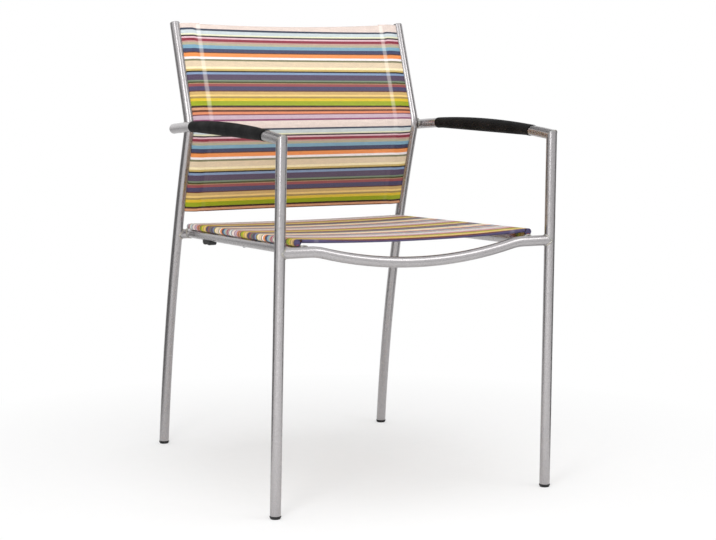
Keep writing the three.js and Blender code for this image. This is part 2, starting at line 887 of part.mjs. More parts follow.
function postPlug(side) {
  const end = postStations(side, backBottomHeight, 0).at(-1);
  const below = kederStations(side, backBottomHeight, 0);
  const pocket = sweep(discShape(clearRadius(kederPocketRadius + fitGap, rodSides)), below, rodSides);
  const neckWidth = slotWidth + 2 * fitGap;
  const strip = stripShape(tubeRadius, neckWidth, inwardTurn(side));
  const neck = sweep(strip, postStations(side, backBottomHeight, 0));
  return endPlug(end.point, end.direction, plugThickness).subtract(pocket).subtract(neck);
}

function armTailCap(side) {
  const end = armStations(side, -cornerAdvanceLength, armTailSetback, armSteps).at(-1);
  return endPlug(end.point, end.direction, capThickness);
}

// Assembly

const frame = new THREE.Group();

function addPiece(name, solid, look) {
  const mesh = new THREE.Mesh(geometryOf(solid), new THREE.MeshStandardMaterial(look));
  mesh.name = name;
  frame.add(mesh);
}

addPiece('front_cross_rail', frontCrossRail(), steel);
addPiece('rear_cross_rail', rearCrossRail(), steel);
addPiece('seat_sling', seatSling(), wovenSling);
addPiece('back_sling', backSling(), wovenSling);

for (const [word, side] of [['left', -1], ['right', 1]]) {
  addPiece(`front_leg_${word}`, frontLeg(side), steel);
  addPiece(`arm_rail_${word}`, armRail(side), steel);
  addPiece(`rear_post_${word}`, rearPost(side), steel);
  addPiece(`seat_side_rail_${word}`, sideRail(side), steel);
  addPiece(`seat_sling_rod_${word}`, seatRod(side), steel);
  for (const [place, share] of Object.entries(screwShares)) {
    addPiece(`seat_rod_screw_${word}_${place}`, seatRodScrew(side, share), screwSteel);
  }
  addPiece(`back_keder_rod_${word}`, kederRod(side), kederPlastic);
  addPiece(`arm_pad_${word}`, armPad(side), blackSleeve);
  addPiece(`arm_tail_cap_${word}`, armTailCap(side), steel);
  addPiece(`post_top_plug_${word}`, postPlug(side), steel);
  addPiece(`front_foot_glide_${word}`, frontGlide(side), blackPlastic);
  addPiece(`rear_foot_glide_${word}`, rearGlide(side), blackPlastic);
  addPiece(`stacking_bumper_${word}`, stackingBumper(side), blackPlastic);
  addPiece(`bumper_screw_${word}`, bumperScrew(side), screwSteel);
}

// The origin is on the floor at the middle of the footprint
const bounds = new THREE.Box3().setFromObject(frame);
const middle = bounds.getCenter(new THREE.Vector3());
frame.position.set(-middle.x, -middle.y, -bounds.min.z);

const chair = new THREE.Group();
chair.add(frame);

export default chair;
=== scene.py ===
import math

import bmesh
import bpy
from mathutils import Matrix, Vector


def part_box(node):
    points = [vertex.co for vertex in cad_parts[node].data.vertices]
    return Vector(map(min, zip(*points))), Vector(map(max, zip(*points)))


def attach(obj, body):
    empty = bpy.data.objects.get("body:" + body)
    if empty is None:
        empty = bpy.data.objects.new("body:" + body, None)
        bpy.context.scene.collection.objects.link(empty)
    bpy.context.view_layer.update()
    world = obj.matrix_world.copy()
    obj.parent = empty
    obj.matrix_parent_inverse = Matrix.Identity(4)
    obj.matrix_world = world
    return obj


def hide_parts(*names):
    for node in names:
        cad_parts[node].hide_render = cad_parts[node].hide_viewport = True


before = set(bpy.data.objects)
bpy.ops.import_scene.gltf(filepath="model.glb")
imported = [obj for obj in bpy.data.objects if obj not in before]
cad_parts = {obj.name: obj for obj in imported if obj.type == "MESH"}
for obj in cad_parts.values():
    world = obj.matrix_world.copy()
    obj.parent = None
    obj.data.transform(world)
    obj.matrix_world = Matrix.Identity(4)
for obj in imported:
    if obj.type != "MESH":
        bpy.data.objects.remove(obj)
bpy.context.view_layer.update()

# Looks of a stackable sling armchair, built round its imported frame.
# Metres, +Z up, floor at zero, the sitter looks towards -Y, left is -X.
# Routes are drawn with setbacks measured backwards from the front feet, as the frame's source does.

MM = 0.001

# Tube stock and fits
TUBE_DIAMETER = 19 * MM
TUBE_WALL = 1.5 * MM
FIT_GAP = 0.3 * MM

# Overall frame
OVERALL_HEIGHT = 850 * MM
ARM_HEIGHT = 643.5 * MM
ARM_HALF_WIDTH = 259.5 * MM
ARM_RISE = 11.4 * MM
ARM_TAIL_LENGTH = 34 * MM
CORNER_ADVANCE = 20.2 * MM
FRONT_FOOT_HALF_WIDTH = 266.3 * MM

# Rear posts
REAR_FOOT_HALF_WIDTH = 245.5 * MM
REAR_FOOT_SETBACK = 642.3 * MM
LEG_BULGE = 21.4 * MM
BEND_SETBACK = 480.8 * MM
BEND_RISE = 5.7 * MM
BEND_TRIM = 14 * MM
POST_RAKE = math.radians(21.4)
POST_SPREAD = 0.6 * MM

# Rails below the seat
RAIL_HEIGHT = 455.1 * MM
BOW_HALF_WIDTH = 194 * MM
BOW_DEPTH = 26.2 * MM
BOW_BLEND = 12 * MM
REAR_RAIL_HEIGHT = 435.7 * MM
SIDE_RAIL_HALF_WIDTH = 217 * MM
SIDE_RAIL_RISE = 1.5 * MM

# Seat sling and its rods
ROD_DIAMETER = 9.5 * MM
ROD_OUTSET = 7 * MM
ROD_FRONT = 0.5 * MM
ROD_REAR_SETBACK = 537 * MM
ROD_END_ROUND = 0.8 * MM
ROD_END_SHARE = 0.3
FABRIC = 0.95 * MM
LAYER_SPACING = 1.08
SEAT_FRONT = 4 * MM
SEAT_REAR_SETBACK = 524 * MM
SEAT_FRONT_SAG = 5.8 * MM
SEAT_REAR_SAG = 2.3 * MM
SEAT_HEM_WIDTH = 38 * MM
SEAT_HEM_GAP = 2 * MM
BACK_HEM_WIDTH = 48 * MM
BACK_HEM_GAP = 1 * MM
HEM_DEPTH = 20 * MM
HEM_ROW_MARGIN = 2 * MM
HEM_ROLLS = {"front": 2.8 * MM, "rear": 1.4 * MM}
HEM_TAPER = 4
UNDER_BEND_START = 17 * MM
UNDER_SAG_START = 10 * MM
UNDER_LEAVE_TURN = math.radians(-150)
POCKET_INSET = 0.8 * MM
POCKET_END_SETBACK = -2.1 * MM
POCKET_END_BULGE = 0.4 * MM
POCKET_CRUMPLE_SHARE = 0.4
POCKET_CRUMPLE_ACROSS = 6
POCKET_CRUMPLE_UP = 4
WELD_WIDTH = 9 * MM

# Back sling and its keder rods inside the slotted posts
KEDER_DIAMETER = 5 * MM
KEDER_EDGE = 0.3 * MM
SLOT_WIDTH = 3 * MM
SLOT_TURN = math.radians(60)
SLOT_LAYER_SHARE = 0.55
KEDER_TURN = math.radians(30)
BACK_DRAIN_GAP = 47.3 * MM
BACK_TOP_GAP = 2 * MM
BACK_TOP_SAG = 8 * MM
BACK_TOP_SAG_REACH = 110 * MM
BACK_BOTTOM_SAG = 1.5 * MM
BACK_DEPTH = 7.5 * MM
MOUTH_REACH = 1.8 * MM
SIDE_BEND_END = 32 * MM

# Arm pads
PAD_DIAMETER = 20.9 * MM
PAD_FRONT_SETBACK = 48 * MM
PAD_REAR_SETBACK = 408 * MM
PAD_SLANT = 8 * MM
PAD_EDGE = 0.3 * MM

# Feet, plugs and caps
GLIDE_HEIGHT = 5.3 * MM
GLIDE_TOP_DIAMETER = 20.3 * MM
GLIDE_BOTTOM_DIAMETER = 17.4 * MM
GLIDE_RIM = 1.6 * MM
GLIDE_EDGE = 0.8 * MM
GLIDE_FLARE_START = -10
GLIDE_STEM = 2 * MM
GLIDE_STEM_SHARE = 0.9
PLUG_THICKNESS = 1 * MM
PLUG_STEM = 1.5 * MM
PLUG_STEM_SHARE = 0.35
PLUG_ROUND_SHARE = 0.8
CAP_THICKNESS = 1.6 * MM
CAP_STEM = 3 * MM
EDGE_ROUND = 0.5 * MM

# Screws and bumpers
ROD_SCREW = {
    "diameter": 5 * MM, "head_diameter": 8.4 * MM, "head_height": 2.6 * MM, "socket": 3 * MM,
}
BUMPER_SCREW = {
    "diameter": 4 * MM, "head_diameter": 7.5 * MM, "head_height": 2.2 * MM, "socket": 2.5 * MM,
}
SOCKET_SIDES = 6
SOCKET_FLOOR_SHARE = 0.35
SOCKET_MOUTH_SHARE = 1.4
SCREW_BITE = 1.5 * MM
SCREW_SHARES = {"front": 0.12, "middle": 0.5, "rear": 0.88}
BUMPER_SETBACK = 441 * MM
BUMPER_WEB = 2.5 * MM
BUMPER_EDGE = 0.35 * MM

# Weld beads
BEAD_RADIUS = 1.5 * MM
MITRE_BEAD_RADIUS = 0.9 * MM
MITRE_SINK_SHARE = 0.6
ARM_WELD_LENGTH_SHARE = 0.62
ARM_WELD_HEIGHT_SHARE = 0.95
RIPPLE_PITCH = 1.9 * MM
RIPPLE_SHARE = 0.12
RIPPLE_STEPS = 5

# Mesh fineness
TUBE_SIDES = 48
ROD_SIDES = 32
BEAD_SIDES = 10
ARC_STEPS = 6
ARM_STEPS = 24
PAD_STEPS = 20
PAD_RIM_STEPS = 5
BACK_COLUMNS = 56
SEAT_COLUMNS = 60
SEAT_ROWS = 60
HEM_COLUMNS = 52
HEM_ROWS = 8
ROLL_STEPS = 10
FOLD_STEPS = 6
UNDER_STEPS = 5
WRAP_BEND_STEPS = 6
KEDER_WRAP_STEPS = 20
ROD_WRAP_STEPS = 26
POCKET_END_STEPS = 10
EDGE_SEGMENTS = 3
FACET_JOIN_DISTANCE = 0.01 * MM
JOIN_DISTANCE = 1e-7
SHARP_ANGLE = math.radians(40)
TURNED_SHARP_ANGLE = math.radians(30)
SCREW_SHARP_ANGLE = math.radians(35)
CLOTH_SHARP_ANGLE = math.radians(50)
PAD_SHARP_ANGLE = math.radians(60)

# Steps along a rear post's leg, its bend and its upper part
POST_STEPS = (34, 10, 8)
SLOT_STEPS = (12, 10, 8)
SLING_STEPS = (26, 10, 30)

# Sizes that follow
TUBE_RADIUS = TUBE_DIAMETER / 2
BORE_RADIUS = TUBE_RADIUS - TUBE_WALL
ROD_RADIUS = ROD_DIAMETER / 2
POCKET_RADIUS = ROD_RADIUS + FIT_GAP + FABRIC
POCKET_MIDDLE = ROD_RADIUS + FIT_GAP + FABRIC / 2
LAYER_STEP = FABRIC * LAYER_SPACING
KEDER_RADIUS = KEDER_DIAMETER / 2
KEDER_MIDDLE = KEDER_RADIUS + FIT_GAP + FABRIC / 2
KEDER_OFFSET = BORE_RADIUS - 2 * FIT_GAP - KEDER_RADIUS - FABRIC
BEND_HALF_WIDTH = ARM_HALF_WIDTH - TUBE_DIAMETER - FIT_GAP
BEND_HEIGHT = ARM_HEIGHT + BEND_RISE
POST_END_HEIGHT = (
    OVERALL_HEIGHT - (PLUG_THICKNESS + FIT_GAP) * math.cos(POST_RAKE)
    - TUBE_RADIUS * math.sin(POST_RAKE)
)
ARM_TAIL_SETBACK = BEND_SETBACK + ARM_TAIL_LENGTH
ARM_SPAN = ARM_TAIL_SETBACK + CORNER_ADVANCE
ROD_HALF_WIDTH = SIDE_RAIL_HALF_WIDTH + ROD_OUTSET
ROD_DISTANCE = TUBE_RADIUS + POCKET_RADIUS + FIT_GAP
ROD_RISE = math.sqrt(ROD_DISTANCE ** 2 - ROD_OUTSET ** 2)
TUBE_BOTTOM = GLIDE_HEIGHT + FIT_GAP
BACK_BOTTOM_HEIGHT = REAR_RAIL_HEIGHT + BACK_DRAIN_GAP

AHEAD = Vector((0, -1, 0))
UPWARD = Vector((0, 0, 1))
SIDES = {"left": -1, "right": 1}

# The frame's front rail tells where the front feet stand
rail_low, rail_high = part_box("front_cross_rail")
rail_advance = CORNER_ADVANCE * RAIL_HEIGHT / ARM_HEIGHT
FEET_Y = (rail_low.y + rail_high.y) / 2 + rail_advance


def place(x, setback, height):
    return Vector((x, FEET_Y + setback, height))


# Stations: a route's points, each with its direction and its section axes

class Station:
    def __init__(self, point, direction, front_hint):
        self.point = point
        self.direction = direction.normalized()
        lean = front_hint.dot(self.direction)
        self.front = (front_hint - lean * self.direction).normalized()
        self.side = self.direction.cross(self.front)

    def at(self, front, side):
        return self.point + front * self.front + side * self.side


def stations_along(points, front_hint):
    last = len(points) - 1
    made = []
    for i, point in enumerate(points):
        before = points[max(i - 1, 0)]
        after = points[min(i + 1, last)]
        made.append(Station(point, after - before, front_hint))
    return made


def spread(start, end, steps):
    """Evenly spaced numbers from start to end."""
    return [start + (end - start) * i / steps for i in range(steps + 1)]


def bezier(start, control, end, share):
    rest = 1 - share
    return start * rest ** 2 + control * (2 * share * rest) + end * share ** 2


# Routes

def leg_point(side, height):
    share = height / ARM_HEIGHT
    half_width = FRONT_FOOT_HALF_WIDTH + (ARM_HALF_WIDTH - FRONT_FOOT_HALF_WIDTH) * share
    return place(side * half_width, -CORNER_ADVANCE * share, height)


ARCH_RADIUS = (ARM_SPAN ** 2 / 4 + ARM_RISE ** 2) / (2 * ARM_RISE)
ARCH_MIDDLE = (ARM_TAIL_SETBACK - CORNER_ADVANCE) / 2


def arm_point(side, setback):
    drop = ARCH_RADIUS - math.sqrt(ARCH_RADIUS ** 2 - (setback - ARCH_MIDDLE) ** 2)
    return place(side * ARM_HALF_WIDTH, setback, ARM_HEIGHT + ARM_RISE - drop)


POST_FOOT = Vector((REAR_FOOT_SETBACK, 0))
POST_BEND = Vector((BEND_SETBACK, BEND_HEIGHT))
POST_END = Vector((
    BEND_SETBACK + (POST_END_HEIGHT - BEND_HEIGHT) * math.tan(POST_RAKE),
    POST_END_HEIGHT,
))
LEG_CONTROL = (POST_FOOT + POST_BEND) / 2 + Vector((2 * LEG_BULGE, 0))
BEND_START_SHARE = 1 - BEND_TRIM / BEND_HEIGHT
UPPER_DIRECTION = (POST_END - POST_BEND).normalized()
UPPER_START = POST_BEND + UPPER_DIRECTION * BEND_TRIM


def post_half_width(height):
    if height < BEND_HEIGHT:
        share = height / BEND_HEIGHT
        return REAR_FOOT_HALF_WIDTH + (BEND_HALF_WIDTH - REAR_FOOT_HALF_WIDTH) * share
    share = (height - BEND_HEIGHT) / (POST_END_HEIGHT - BEND_HEIGHT)
    return BEND_HALF_WIDTH + POST_SPREAD * share


def post_stations(side, from_height, past_end, steps):
    """Rear post from a height on its curved leg to a distance past its end."""
    leg_steps, bend_steps, upper_steps = steps
    start_share = from_height / BEND_HEIGHT
    bend_start = bezier(POST_FOOT, LEG_CONTROL, POST_BEND, BEND_START_SHARE)
    stop = POST_END + UPPER_DIRECTION * past_end
    flat = [
        bezier(POST_FOOT, LEG_CONTROL, POST_BEND, share)
        for share in spread(start_share, BEND_START_SHARE, leg_steps)
    ]
    flat += [
        bezier(bend_start, POST_BEND, UPPER_START, share)
        for share in spread(0, 1, bend_steps)[1:]
    ]
    flat += [UPPER_START.lerp(stop, share) for share in spread(0, 1, upper_steps)[1:]]
    return stations_along([place(side * post_half_width(p.y), p.x, p.y) for p in flat], AHEAD)


def post_point(side, height):
    flat = bezier(POST_FOOT, LEG_CONTROL, POST_BEND, height / BEND_HEIGHT)
    return place(side * post_half_width(height), flat.x, flat.y)


def front_rail_route(bow_steps=40, blend_steps=6):
    reach = leg_point(1, RAIL_HEIGHT)
    bow_radius = (BOW_HALF_WIDTH ** 2 + BOW_DEPTH ** 2) / (2 * BOW_DEPTH)
    bow_angle = math.asin((BOW_HALF_WIDTH - BOW_BLEND) / bow_radius)
    bow_centre = RAIL_HEIGHT - BOW_DEPTH + bow_radius
    bow = [
        Vector((bow_radius * math.sin(a), bow_centre - bow_radius * math.cos(a)))
        for a in spread(-bow_angle, bow_angle, bow_steps)
    ]
    kink = Vector((BOW_HALF_WIDTH, RAIL_HEIGHT))
    stub = Vector((BOW_HALF_WIDTH + BOW_BLEND, RAIL_HEIGHT))
    half = [bezier(bow[-1], kink, stub, share) for share in spread(0, 1, blend_steps)[1:]]
    half.append(Vector((reach.x, RAIL_HEIGHT)))
    mirrored = [Vector((-p.x, p.y)) for p in reversed(half)]
    return [Vector((p.x, reach.y, p.y)) for p in mirrored + bow + half]


SIDE_RAIL_FRONT = -rail_advance
SIDE_RAIL_REAR = post_point(1, REAR_RAIL_HEIGHT).y - FEET_Y


def side_rail_point(side, setback):
    share = (setback - SIDE_RAIL_FRONT) / (SIDE_RAIL_REAR - SIDE_RAIL_FRONT)
    height = RAIL_HEIGHT + (REAR_RAIL_HEIGHT - RAIL_HEIGHT) * share + SIDE_RAIL_RISE
    return place(side * SIDE_RAIL_HALF_WIDTH, setback, height)


RAIL_DIRECTION = (
    side_rail_point(1, SIDE_RAIL_REAR) - side_rail_point(1, SIDE_RAIL_FRONT)
).normalized()
RAIL_UP = (UPWARD - UPWARD.dot(RAIL_DIRECTION) * RAIL_DIRECTION).normalized()


def rod_point(side, setback):
    outward = Vector((side * ROD_OUTSET, 0, 0))
    return side_rail_point(side, setback) + RAIL_UP * ROD_RISE + outward


# Cuts at the ends of tubes: each moves a point along the tube's own direction

def cut_at_plane(point, normal):
    def move(vertex, direction):
        return vertex + direction * ((point - vertex).dot(normal) / direction.dot(normal))
    return move


def cut_at_tube(point, axis, outward):
    """Saddle cut where a tube that runs outward first meets another."""
    axis = axis.normalized()

    def flat(vector):
        return vector - axis * vector.dot(axis)

    def move(vertex, direction):
        heading = direction if direction.dot(outward) > 0 else -direction
        step = flat(heading)
        offset = flat(vertex - point)
        a = step.length_squared
        b = offset.dot(step)
        c = offset.length_squared - TUBE_RADIUS ** 2
        reach = math.sqrt(max(0.0, b * b - a * c))
        return vertex + heading * ((-b - reach) / a)
    return move


# Mesh making

LENGTH_MAP = "length_map"


def add_object(name, data):
    made = bpy.data.objects.new(name, data)
    bpy.context.scene.collection.objects.link(made)
    return made


class Surface:
    """Collects grids of points with map coordinates, and makes one mesh object of them."""

    def __init__(self):
        self.points = []
        self.faces = []
        self.maps = []

    def grid(self, rows, maps=None):
        """Adds a grid of points. Without maps, all its map coordinates are nought."""
        maps = maps or [[(0.0, 0.0)] * len(row) for row in rows]
        start = len(self.points)
        columns = len(rows[0])
        for row in rows:
            self.points.extend(row)
        for r in range(len(rows) - 1):
            for c in range(columns - 1):
                corners = [(r, c), (r, c + 1), (r + 1, c + 1), (r + 1, c)]
                self.faces.append([start + i * columns + j for i, j in corners])
                self.maps.append([maps[i][j] for i, j in corners])

    def build(self, name, material, sharp_angle=SHARP_ANGLE):
        mesh = bpy.data.meshes.new(name)
        mesh.from_pydata(self.points, [], self.faces)
        layer = mesh.uv_layers.new(name=LENGTH_MAP)
        flat = [value for face in self.maps for corner in face for value in corner]
        layer.data.foreach_set("uv", flat)
        work = bmesh.new()
        work.from_mesh(mesh)
        bmesh.ops.remove_doubles(work, verts=work.verts, dist=JOIN_DISTANCE)
        bmesh.ops.dissolve_degenerate(work, edges=work.edges, dist=JOIN_DISTANCE)
        bmesh.ops.recalc_face_normals(work, faces=work.faces)
        work.to_mesh(mesh)
        work.free()
        mesh.shade_smooth()
        mesh.set_sharp_from_angle(angle=sharp_angle)
        mesh.materials.append(material)
        return add_object(name, mesh)


def grid_object(name, material, rows, maps=None, sharp_angle=SHARP_ANGLE):
    surface = Surface()
    surface.grid(rows, maps)
    return surface.build(name, material, sharp_angle)


def ring(station, radius, sides, cut=None):
    """One section's points, the first one given again at the end."""
    made = []
    for i in range(sides + 1):
        angle = 2 * math.pi * (i % sides) / sides
        point = station.at(radius * math.cos(angle), radius * math.sin(angle))
        made.append(cut(point, station.direction) if cut else point)
    return made


def ring_map(radius, sides, along):
    """One section's map places: the length round it, and how far along the piece it lies."""
    return [(2 * math.pi * radius * i / sides, along) for i in range(sides + 1)]


def distances(points):
    """Length travelled along a row of points, at each of them."""
    made = [0.0]
    for before, after in zip(points, points[1:]):
        made.append(made[-1] + (after - before).length)
    return made


def ring_maps(stations, radius, sides):
    lengths = distances([station.point for station in stations])
    return [ring_map(radius, sides, along) for along in lengths]


def steel_tube(name, stations, start_cut=None, end_cut=None):
    """A tube with a bore, its ends cut square unless a cut is given."""
    surface = Surface()
    maps = ring_maps(stations, TUBE_RADIUS, TUBE_SIDES)
    walls = []
    for radius in (TUBE_RADIUS, BORE_RADIUS):
        rows = [ring(station, radius, TUBE_SIDES) for station in stations]
        rows[0] = ring(stations[0], radius, TUBE_SIDES, start_cut)
        rows[-1] = ring(stations[-1], radius, TUBE_SIDES, end_cut)
        surface.grid(rows, maps)
        walls.append(rows)
    outside, inside = walls
    for end in (0, -1):
        surface.grid([outside[end], inside[end]], [maps[end], maps[end]])
    return surface.build(name, brushed_steel)


def solid_sweep(name, stations, radii, material):
    """A closed round bar whose radius is given at each station."""
    rows = [ring(station, radius, ROD_SIDES) for station, radius in zip(stations, radii)]
    maps = ring_maps(stations, max(radii), ROD_SIDES)
    first = [stations[0].point] * (ROD_SIDES + 1)
    last = [stations[-1].point] * (ROD_SIDES + 1)
    return grid_object(name, material, [first] + rows + [last], [maps[0]] + maps + [maps[-1]])


def turned(name, profile, point, axis, material, sides=TUBE_SIDES):
    """A revolved piece from radius and height pairs, standing on a point along an axis."""
    hint = AHEAD if abs(axis.dot(AHEAD)) < abs(axis.dot(UPWARD)) else UPWARD
    lengths = distances([Vector(pair) for pair in profile])
    rows = []
    maps = []
    for (radius, height), travelled in zip(profile, lengths):
        rows.append(ring(Station(point + axis * height, axis, hint), radius, sides))
        maps.append(ring_map(radius, sides, travelled))
    return grid_object(name, material, rows, maps, TURNED_SHARP_ANGLE)


def arc(centre_radius, centre_height, size, start, end):
    """Points of a rounded corner in a turned profile, angles in degrees from outwards to up."""
    made = []
    for degrees in spread(start, end, ARC_STEPS):
        angle = math.radians(degrees)
        made.append((centre_radius + size * math.cos(angle), centre_height + size * math.sin(angle)))
    return made


def cut_away(piece, cutter, sharp_angle):
    """Cuts one object out of another and removes the cutter."""
    modifier = piece.modifiers.new("cut", "BOOLEAN")
    modifier.operation = "DIFFERENCE"
    modifier.solver = "EXACT"
    modifier.object = cutter
    depsgraph = bpy.context.evaluated_depsgraph_get()
    mesh = bpy.data.meshes.new_from_object(piece.evaluated_get(depsgraph))
    piece.modifiers.clear()
    piece.data = mesh
    mesh.set_sharp_from_angle(angle=sharp_angle)
    bpy.data.objects.remove(cutter)


def settle(piece, slot, *nodes):
    """Lets a finished piece ride on the frame, and hides the nodes it stands for. Its finish slot is not
    used.
    """
    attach(piece, "root")
    if nodes:
        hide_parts(*nodes)


def bead_steps(length):
    return round(length / RIPPLE_PITCH) * RIPPLE_STEPS


def make_bead(name, sections, length, bead_radius):
    """A rippled weld bead of a stated length, swept through sections that close on themselves."""
    rows = []
    maps = []
    for i, section in enumerate(sections):
        ripple = 1 + RIPPLE_SHARE * abs(math.sin(math.pi * i / RIPPLE_STEPS))
        rows.append(ring(section, bead_radius * ripple, BEAD_SIDES))
        maps.append(ring_map(bead_radius, BEAD_SIDES, length * i / (len(sections) - 1)))
    settle(grid_object(name, weld_steel, rows, maps), "frame_steel")


def make_tube_bead(name, station, cut, bead_radius, sink=0.0):
    """A weld bead round a tube's cut end."""
    length = 2 * math.pi * TUBE_RADIUS
    steps = bead_steps(length)
    loop = ring(station, TUBE_RADIUS - sink, steps, cut)[:-1]
    centre = sum(loop, Vector()) / steps
    sections = []
    for i in range(steps + 1):
        here = loop[i % steps]
        along = loop[(i + 1) % steps] - loop[i % steps - 1]
        sections.append(Station(here, along, here - centre))
    make_bead(name, sections, length, bead_radius)


# Materials

def linear(hex_colour):
    """Linear light values of a colour written as six hexadecimal digits."""
    made = []
    for i in (0, 2, 4):
        value = int(hex_colour[i:i + 2], 16) / 255
        made.append(value / 12.92 if value <= 0.04045 else ((value + 0.055) / 1.055) ** 2.4)
    return (*made, 1.0)


class Graph:
    """The nodes of a material or of the world, with short names for adding and linking them."""

    def __init__(self, owner):
        owner.use_nodes = True
        self.owner = owner
        self.tree = owner.node_tree
        self.tree.nodes.clear()

    def set(self, socket, value):
        if isinstance(value, bpy.types.NodeSocket):
            self.tree.links.new(value, socket)
        else:
            socket.default_value = value

    def node(self, kind, inputs=None, **settings):
        made = self.tree.nodes.new("ShaderNode" + kind)
        for name, value in settings.items():
            setattr(made, name, value)
        for name, value in (inputs or {}).items():
            self.set(made.inputs[name], value)
        return made

    def math(self, operation, a, b=0.0):
        return self.node("Math", {0: a, 1: b}, operation=operation).outputs[0]

    def times(self, a, b):
        return self.math("MULTIPLY", a, b)

    def mix(self, share, a, b, blend="MIX"):
        made = self.node(
            "Mix", {0: share, 6: a, 7: b}, data_type="RGBA", blend_type=blend,
        )
        return made.outputs[2]

    def fit(self, value, old_range, new_range=(0.0, 1.0)):
        """Moves a value from the old range to the new one, and keeps it inside."""
        inputs = {"Value": value}
        inputs["From Min"], inputs["From Max"] = old_range
        inputs["To Min"], inputs["To Max"] = new_range
        return self.node("MapRange", inputs).outputs["Result"]

    def noise(self, vector, scale, detail, roughness=0.5):
        made = self.node(
            "TexNoise",
            {"Vector": vector, "Scale": scale, "Detail": detail, "Roughness": roughness},
        )
        return made.outputs["Fac"]

    def map_noise(self, across, along, detail):
        """Noise over the mapped lengths of a piece, with its own fineness across and along."""
        scale = (across, along, 1.0)
        mapping = self.node("Mapping", {"Vector": self.length_map(), "Scale": scale})
        return self.noise(mapping.outputs[0], scale=1.0, detail=detail)

    def length_map(self):
        """The mapped lengths of a piece: across in X, along in Y, both in metres."""
        return self.node("UVMap", uv_map=LENGTH_MAP).outputs[0]

    def frame_place(self):
        """A point's place on the piece, for finishes that need no map."""
        return self.node("TexCoord").outputs["Object"]

    def parts(self, vector):
        return self.node("SeparateXYZ", {"Vector": vector}).outputs

    def bump(self, height, strength, distance):
        made = self.node(
            "Bump", {"Height": height, "Strength": strength, "Distance": distance},
        )
        return made.outputs[0]

    def ramp(self, value, stops):
        """The colour of the last stop that the value has passed."""
        made = self.node("ValToRGB", {"Fac": value})
        colours = made.color_ramp
        colours.interpolation = "CONSTANT"
        colours.elements[0].position, colours.elements[0].color = stops[0]
        colours.elements[1].position, colours.elements[1].color = stops[-1]
        for position, colour in stops[1:-1]:
            colours.elements.new(position).color = colour
        return made.outputs[0]

    def finished(self, shader):
        """The material, with a shader as its surface."""
        self.node("OutputMaterial", {"Surface": shader.outputs[0]})
        return self.owner

    def principled(self, inputs):
        return self.finished(self.node("BsdfPrincipled", inputs))


def material_graph(name):
    return Graph(bpy.data.materials.new(name))


BRUSH_ACROSS = 2600.0
BRUSH_ALONG = 45.0


def make_brushed_steel(name, colour, roughness_range):
    """Stainless steel brushed along the tube, with faint cloudy variation and handling marks."""
    graph = material_graph(name)
    where = graph.frame_place()
    streaks = graph.map_noise(BRUSH_ACROSS, BRUSH_ALONG, detail=2.0)
    clouds = graph.noise(where, scale=22.0, detail=3.0)
    marks = graph.noise(where, scale=90.0, detail=4.0, roughness=0.7)
    tone = graph.fit(clouds, (0.3, 0.7), (0.97, 1.02))
    tone = graph.times(tone, graph.fit(streaks, (0.25, 0.75), (0.96, 1.03)))
    rough = graph.fit(streaks, (0.25, 0.75), roughness_range)
    rough = graph.math("ADD", rough, graph.fit(marks, (0.35, 0.7), (-0.015, 0.03)))
    return graph.principled({
        "Base Color": graph.mix(1.0, linear(colour), tone, "MULTIPLY"),
        "Metallic": 1.0,
        "Roughness": rough,
        "Normal": graph.bump(streaks, strength=0.04, distance=0.05 * MM),
    })


def make_weld_steel():
    """Weld metal: slightly darker and straw tinted in places, with a fine grain."""
    graph = material_graph("weld_steel")
    where = graph.frame_place()
    tint = graph.noise(where, scale=160.0, detail=3.0)
    grain = graph.noise(where, scale=2400.0, detail=2.0)
    tint_share = graph.fit(tint, (0.35, 0.65))
    return graph.principled({
        "Base Color": graph.mix(tint_share, linear("a8a9a8"), linear("b9b2a4")),
        "Metallic": 1.0,
        "Roughness": graph.fit(grain, (0.3, 0.7), (0.3, 0.45)),
        "Normal": graph.bump(grain, strength=0.2, distance=0.1 * MM),
    })


def make_black_sleeve():
    """Matt black rubbery sleeve with a fine leather-like grain and rubbed patches."""
    graph = material_graph("arm_sleeve_black")
    where = graph.frame_place()
    cells = graph.node("TexVoronoi", {"Vector": where, "Scale": 900.0})
    grain = graph.fit(cells.outputs["Distance"], (0.0, 0.6), (1.0, 0.0))
    wear = graph.noise(where, scale=24.0, detail=4.0, roughness=0.6)
    wear_share = graph.fit(wear, (0.4, 0.75))
    return graph.principled({
        "Base Color": graph.mix(wear_share, linear("0b0b0c"), linear("141415")),
        "Roughness": graph.fit(wear, (0.3, 0.75), (0.72, 0.52)),
        "Specular IOR Level": 0.12,
        "Normal": graph.bump(grain, strength=0.35, distance=0.15 * MM),
    })


def make_plastic(name, dark, light, roughness_range):
    """Moulded plastic with a fine texture and scuffs."""
    graph = material_graph(name)
    where = graph.frame_place()
    scuffs = graph.noise(where, scale=120.0, detail=5.0, roughness=0.65)
    grain = graph.noise(where, scale=3000.0, detail=2.0)
    scuff_share = graph.fit(scuffs, (0.45, 0.75))
    return graph.principled({
        "Base Color": graph.mix(scuff_share, linear(dark), linear(light)),
        "Roughness": graph.fit(scuffs, (0.3, 0.7), roughness_range),
        "Normal": graph.bump(grain, strength=0.15, distance=0.05 * MM),
    })


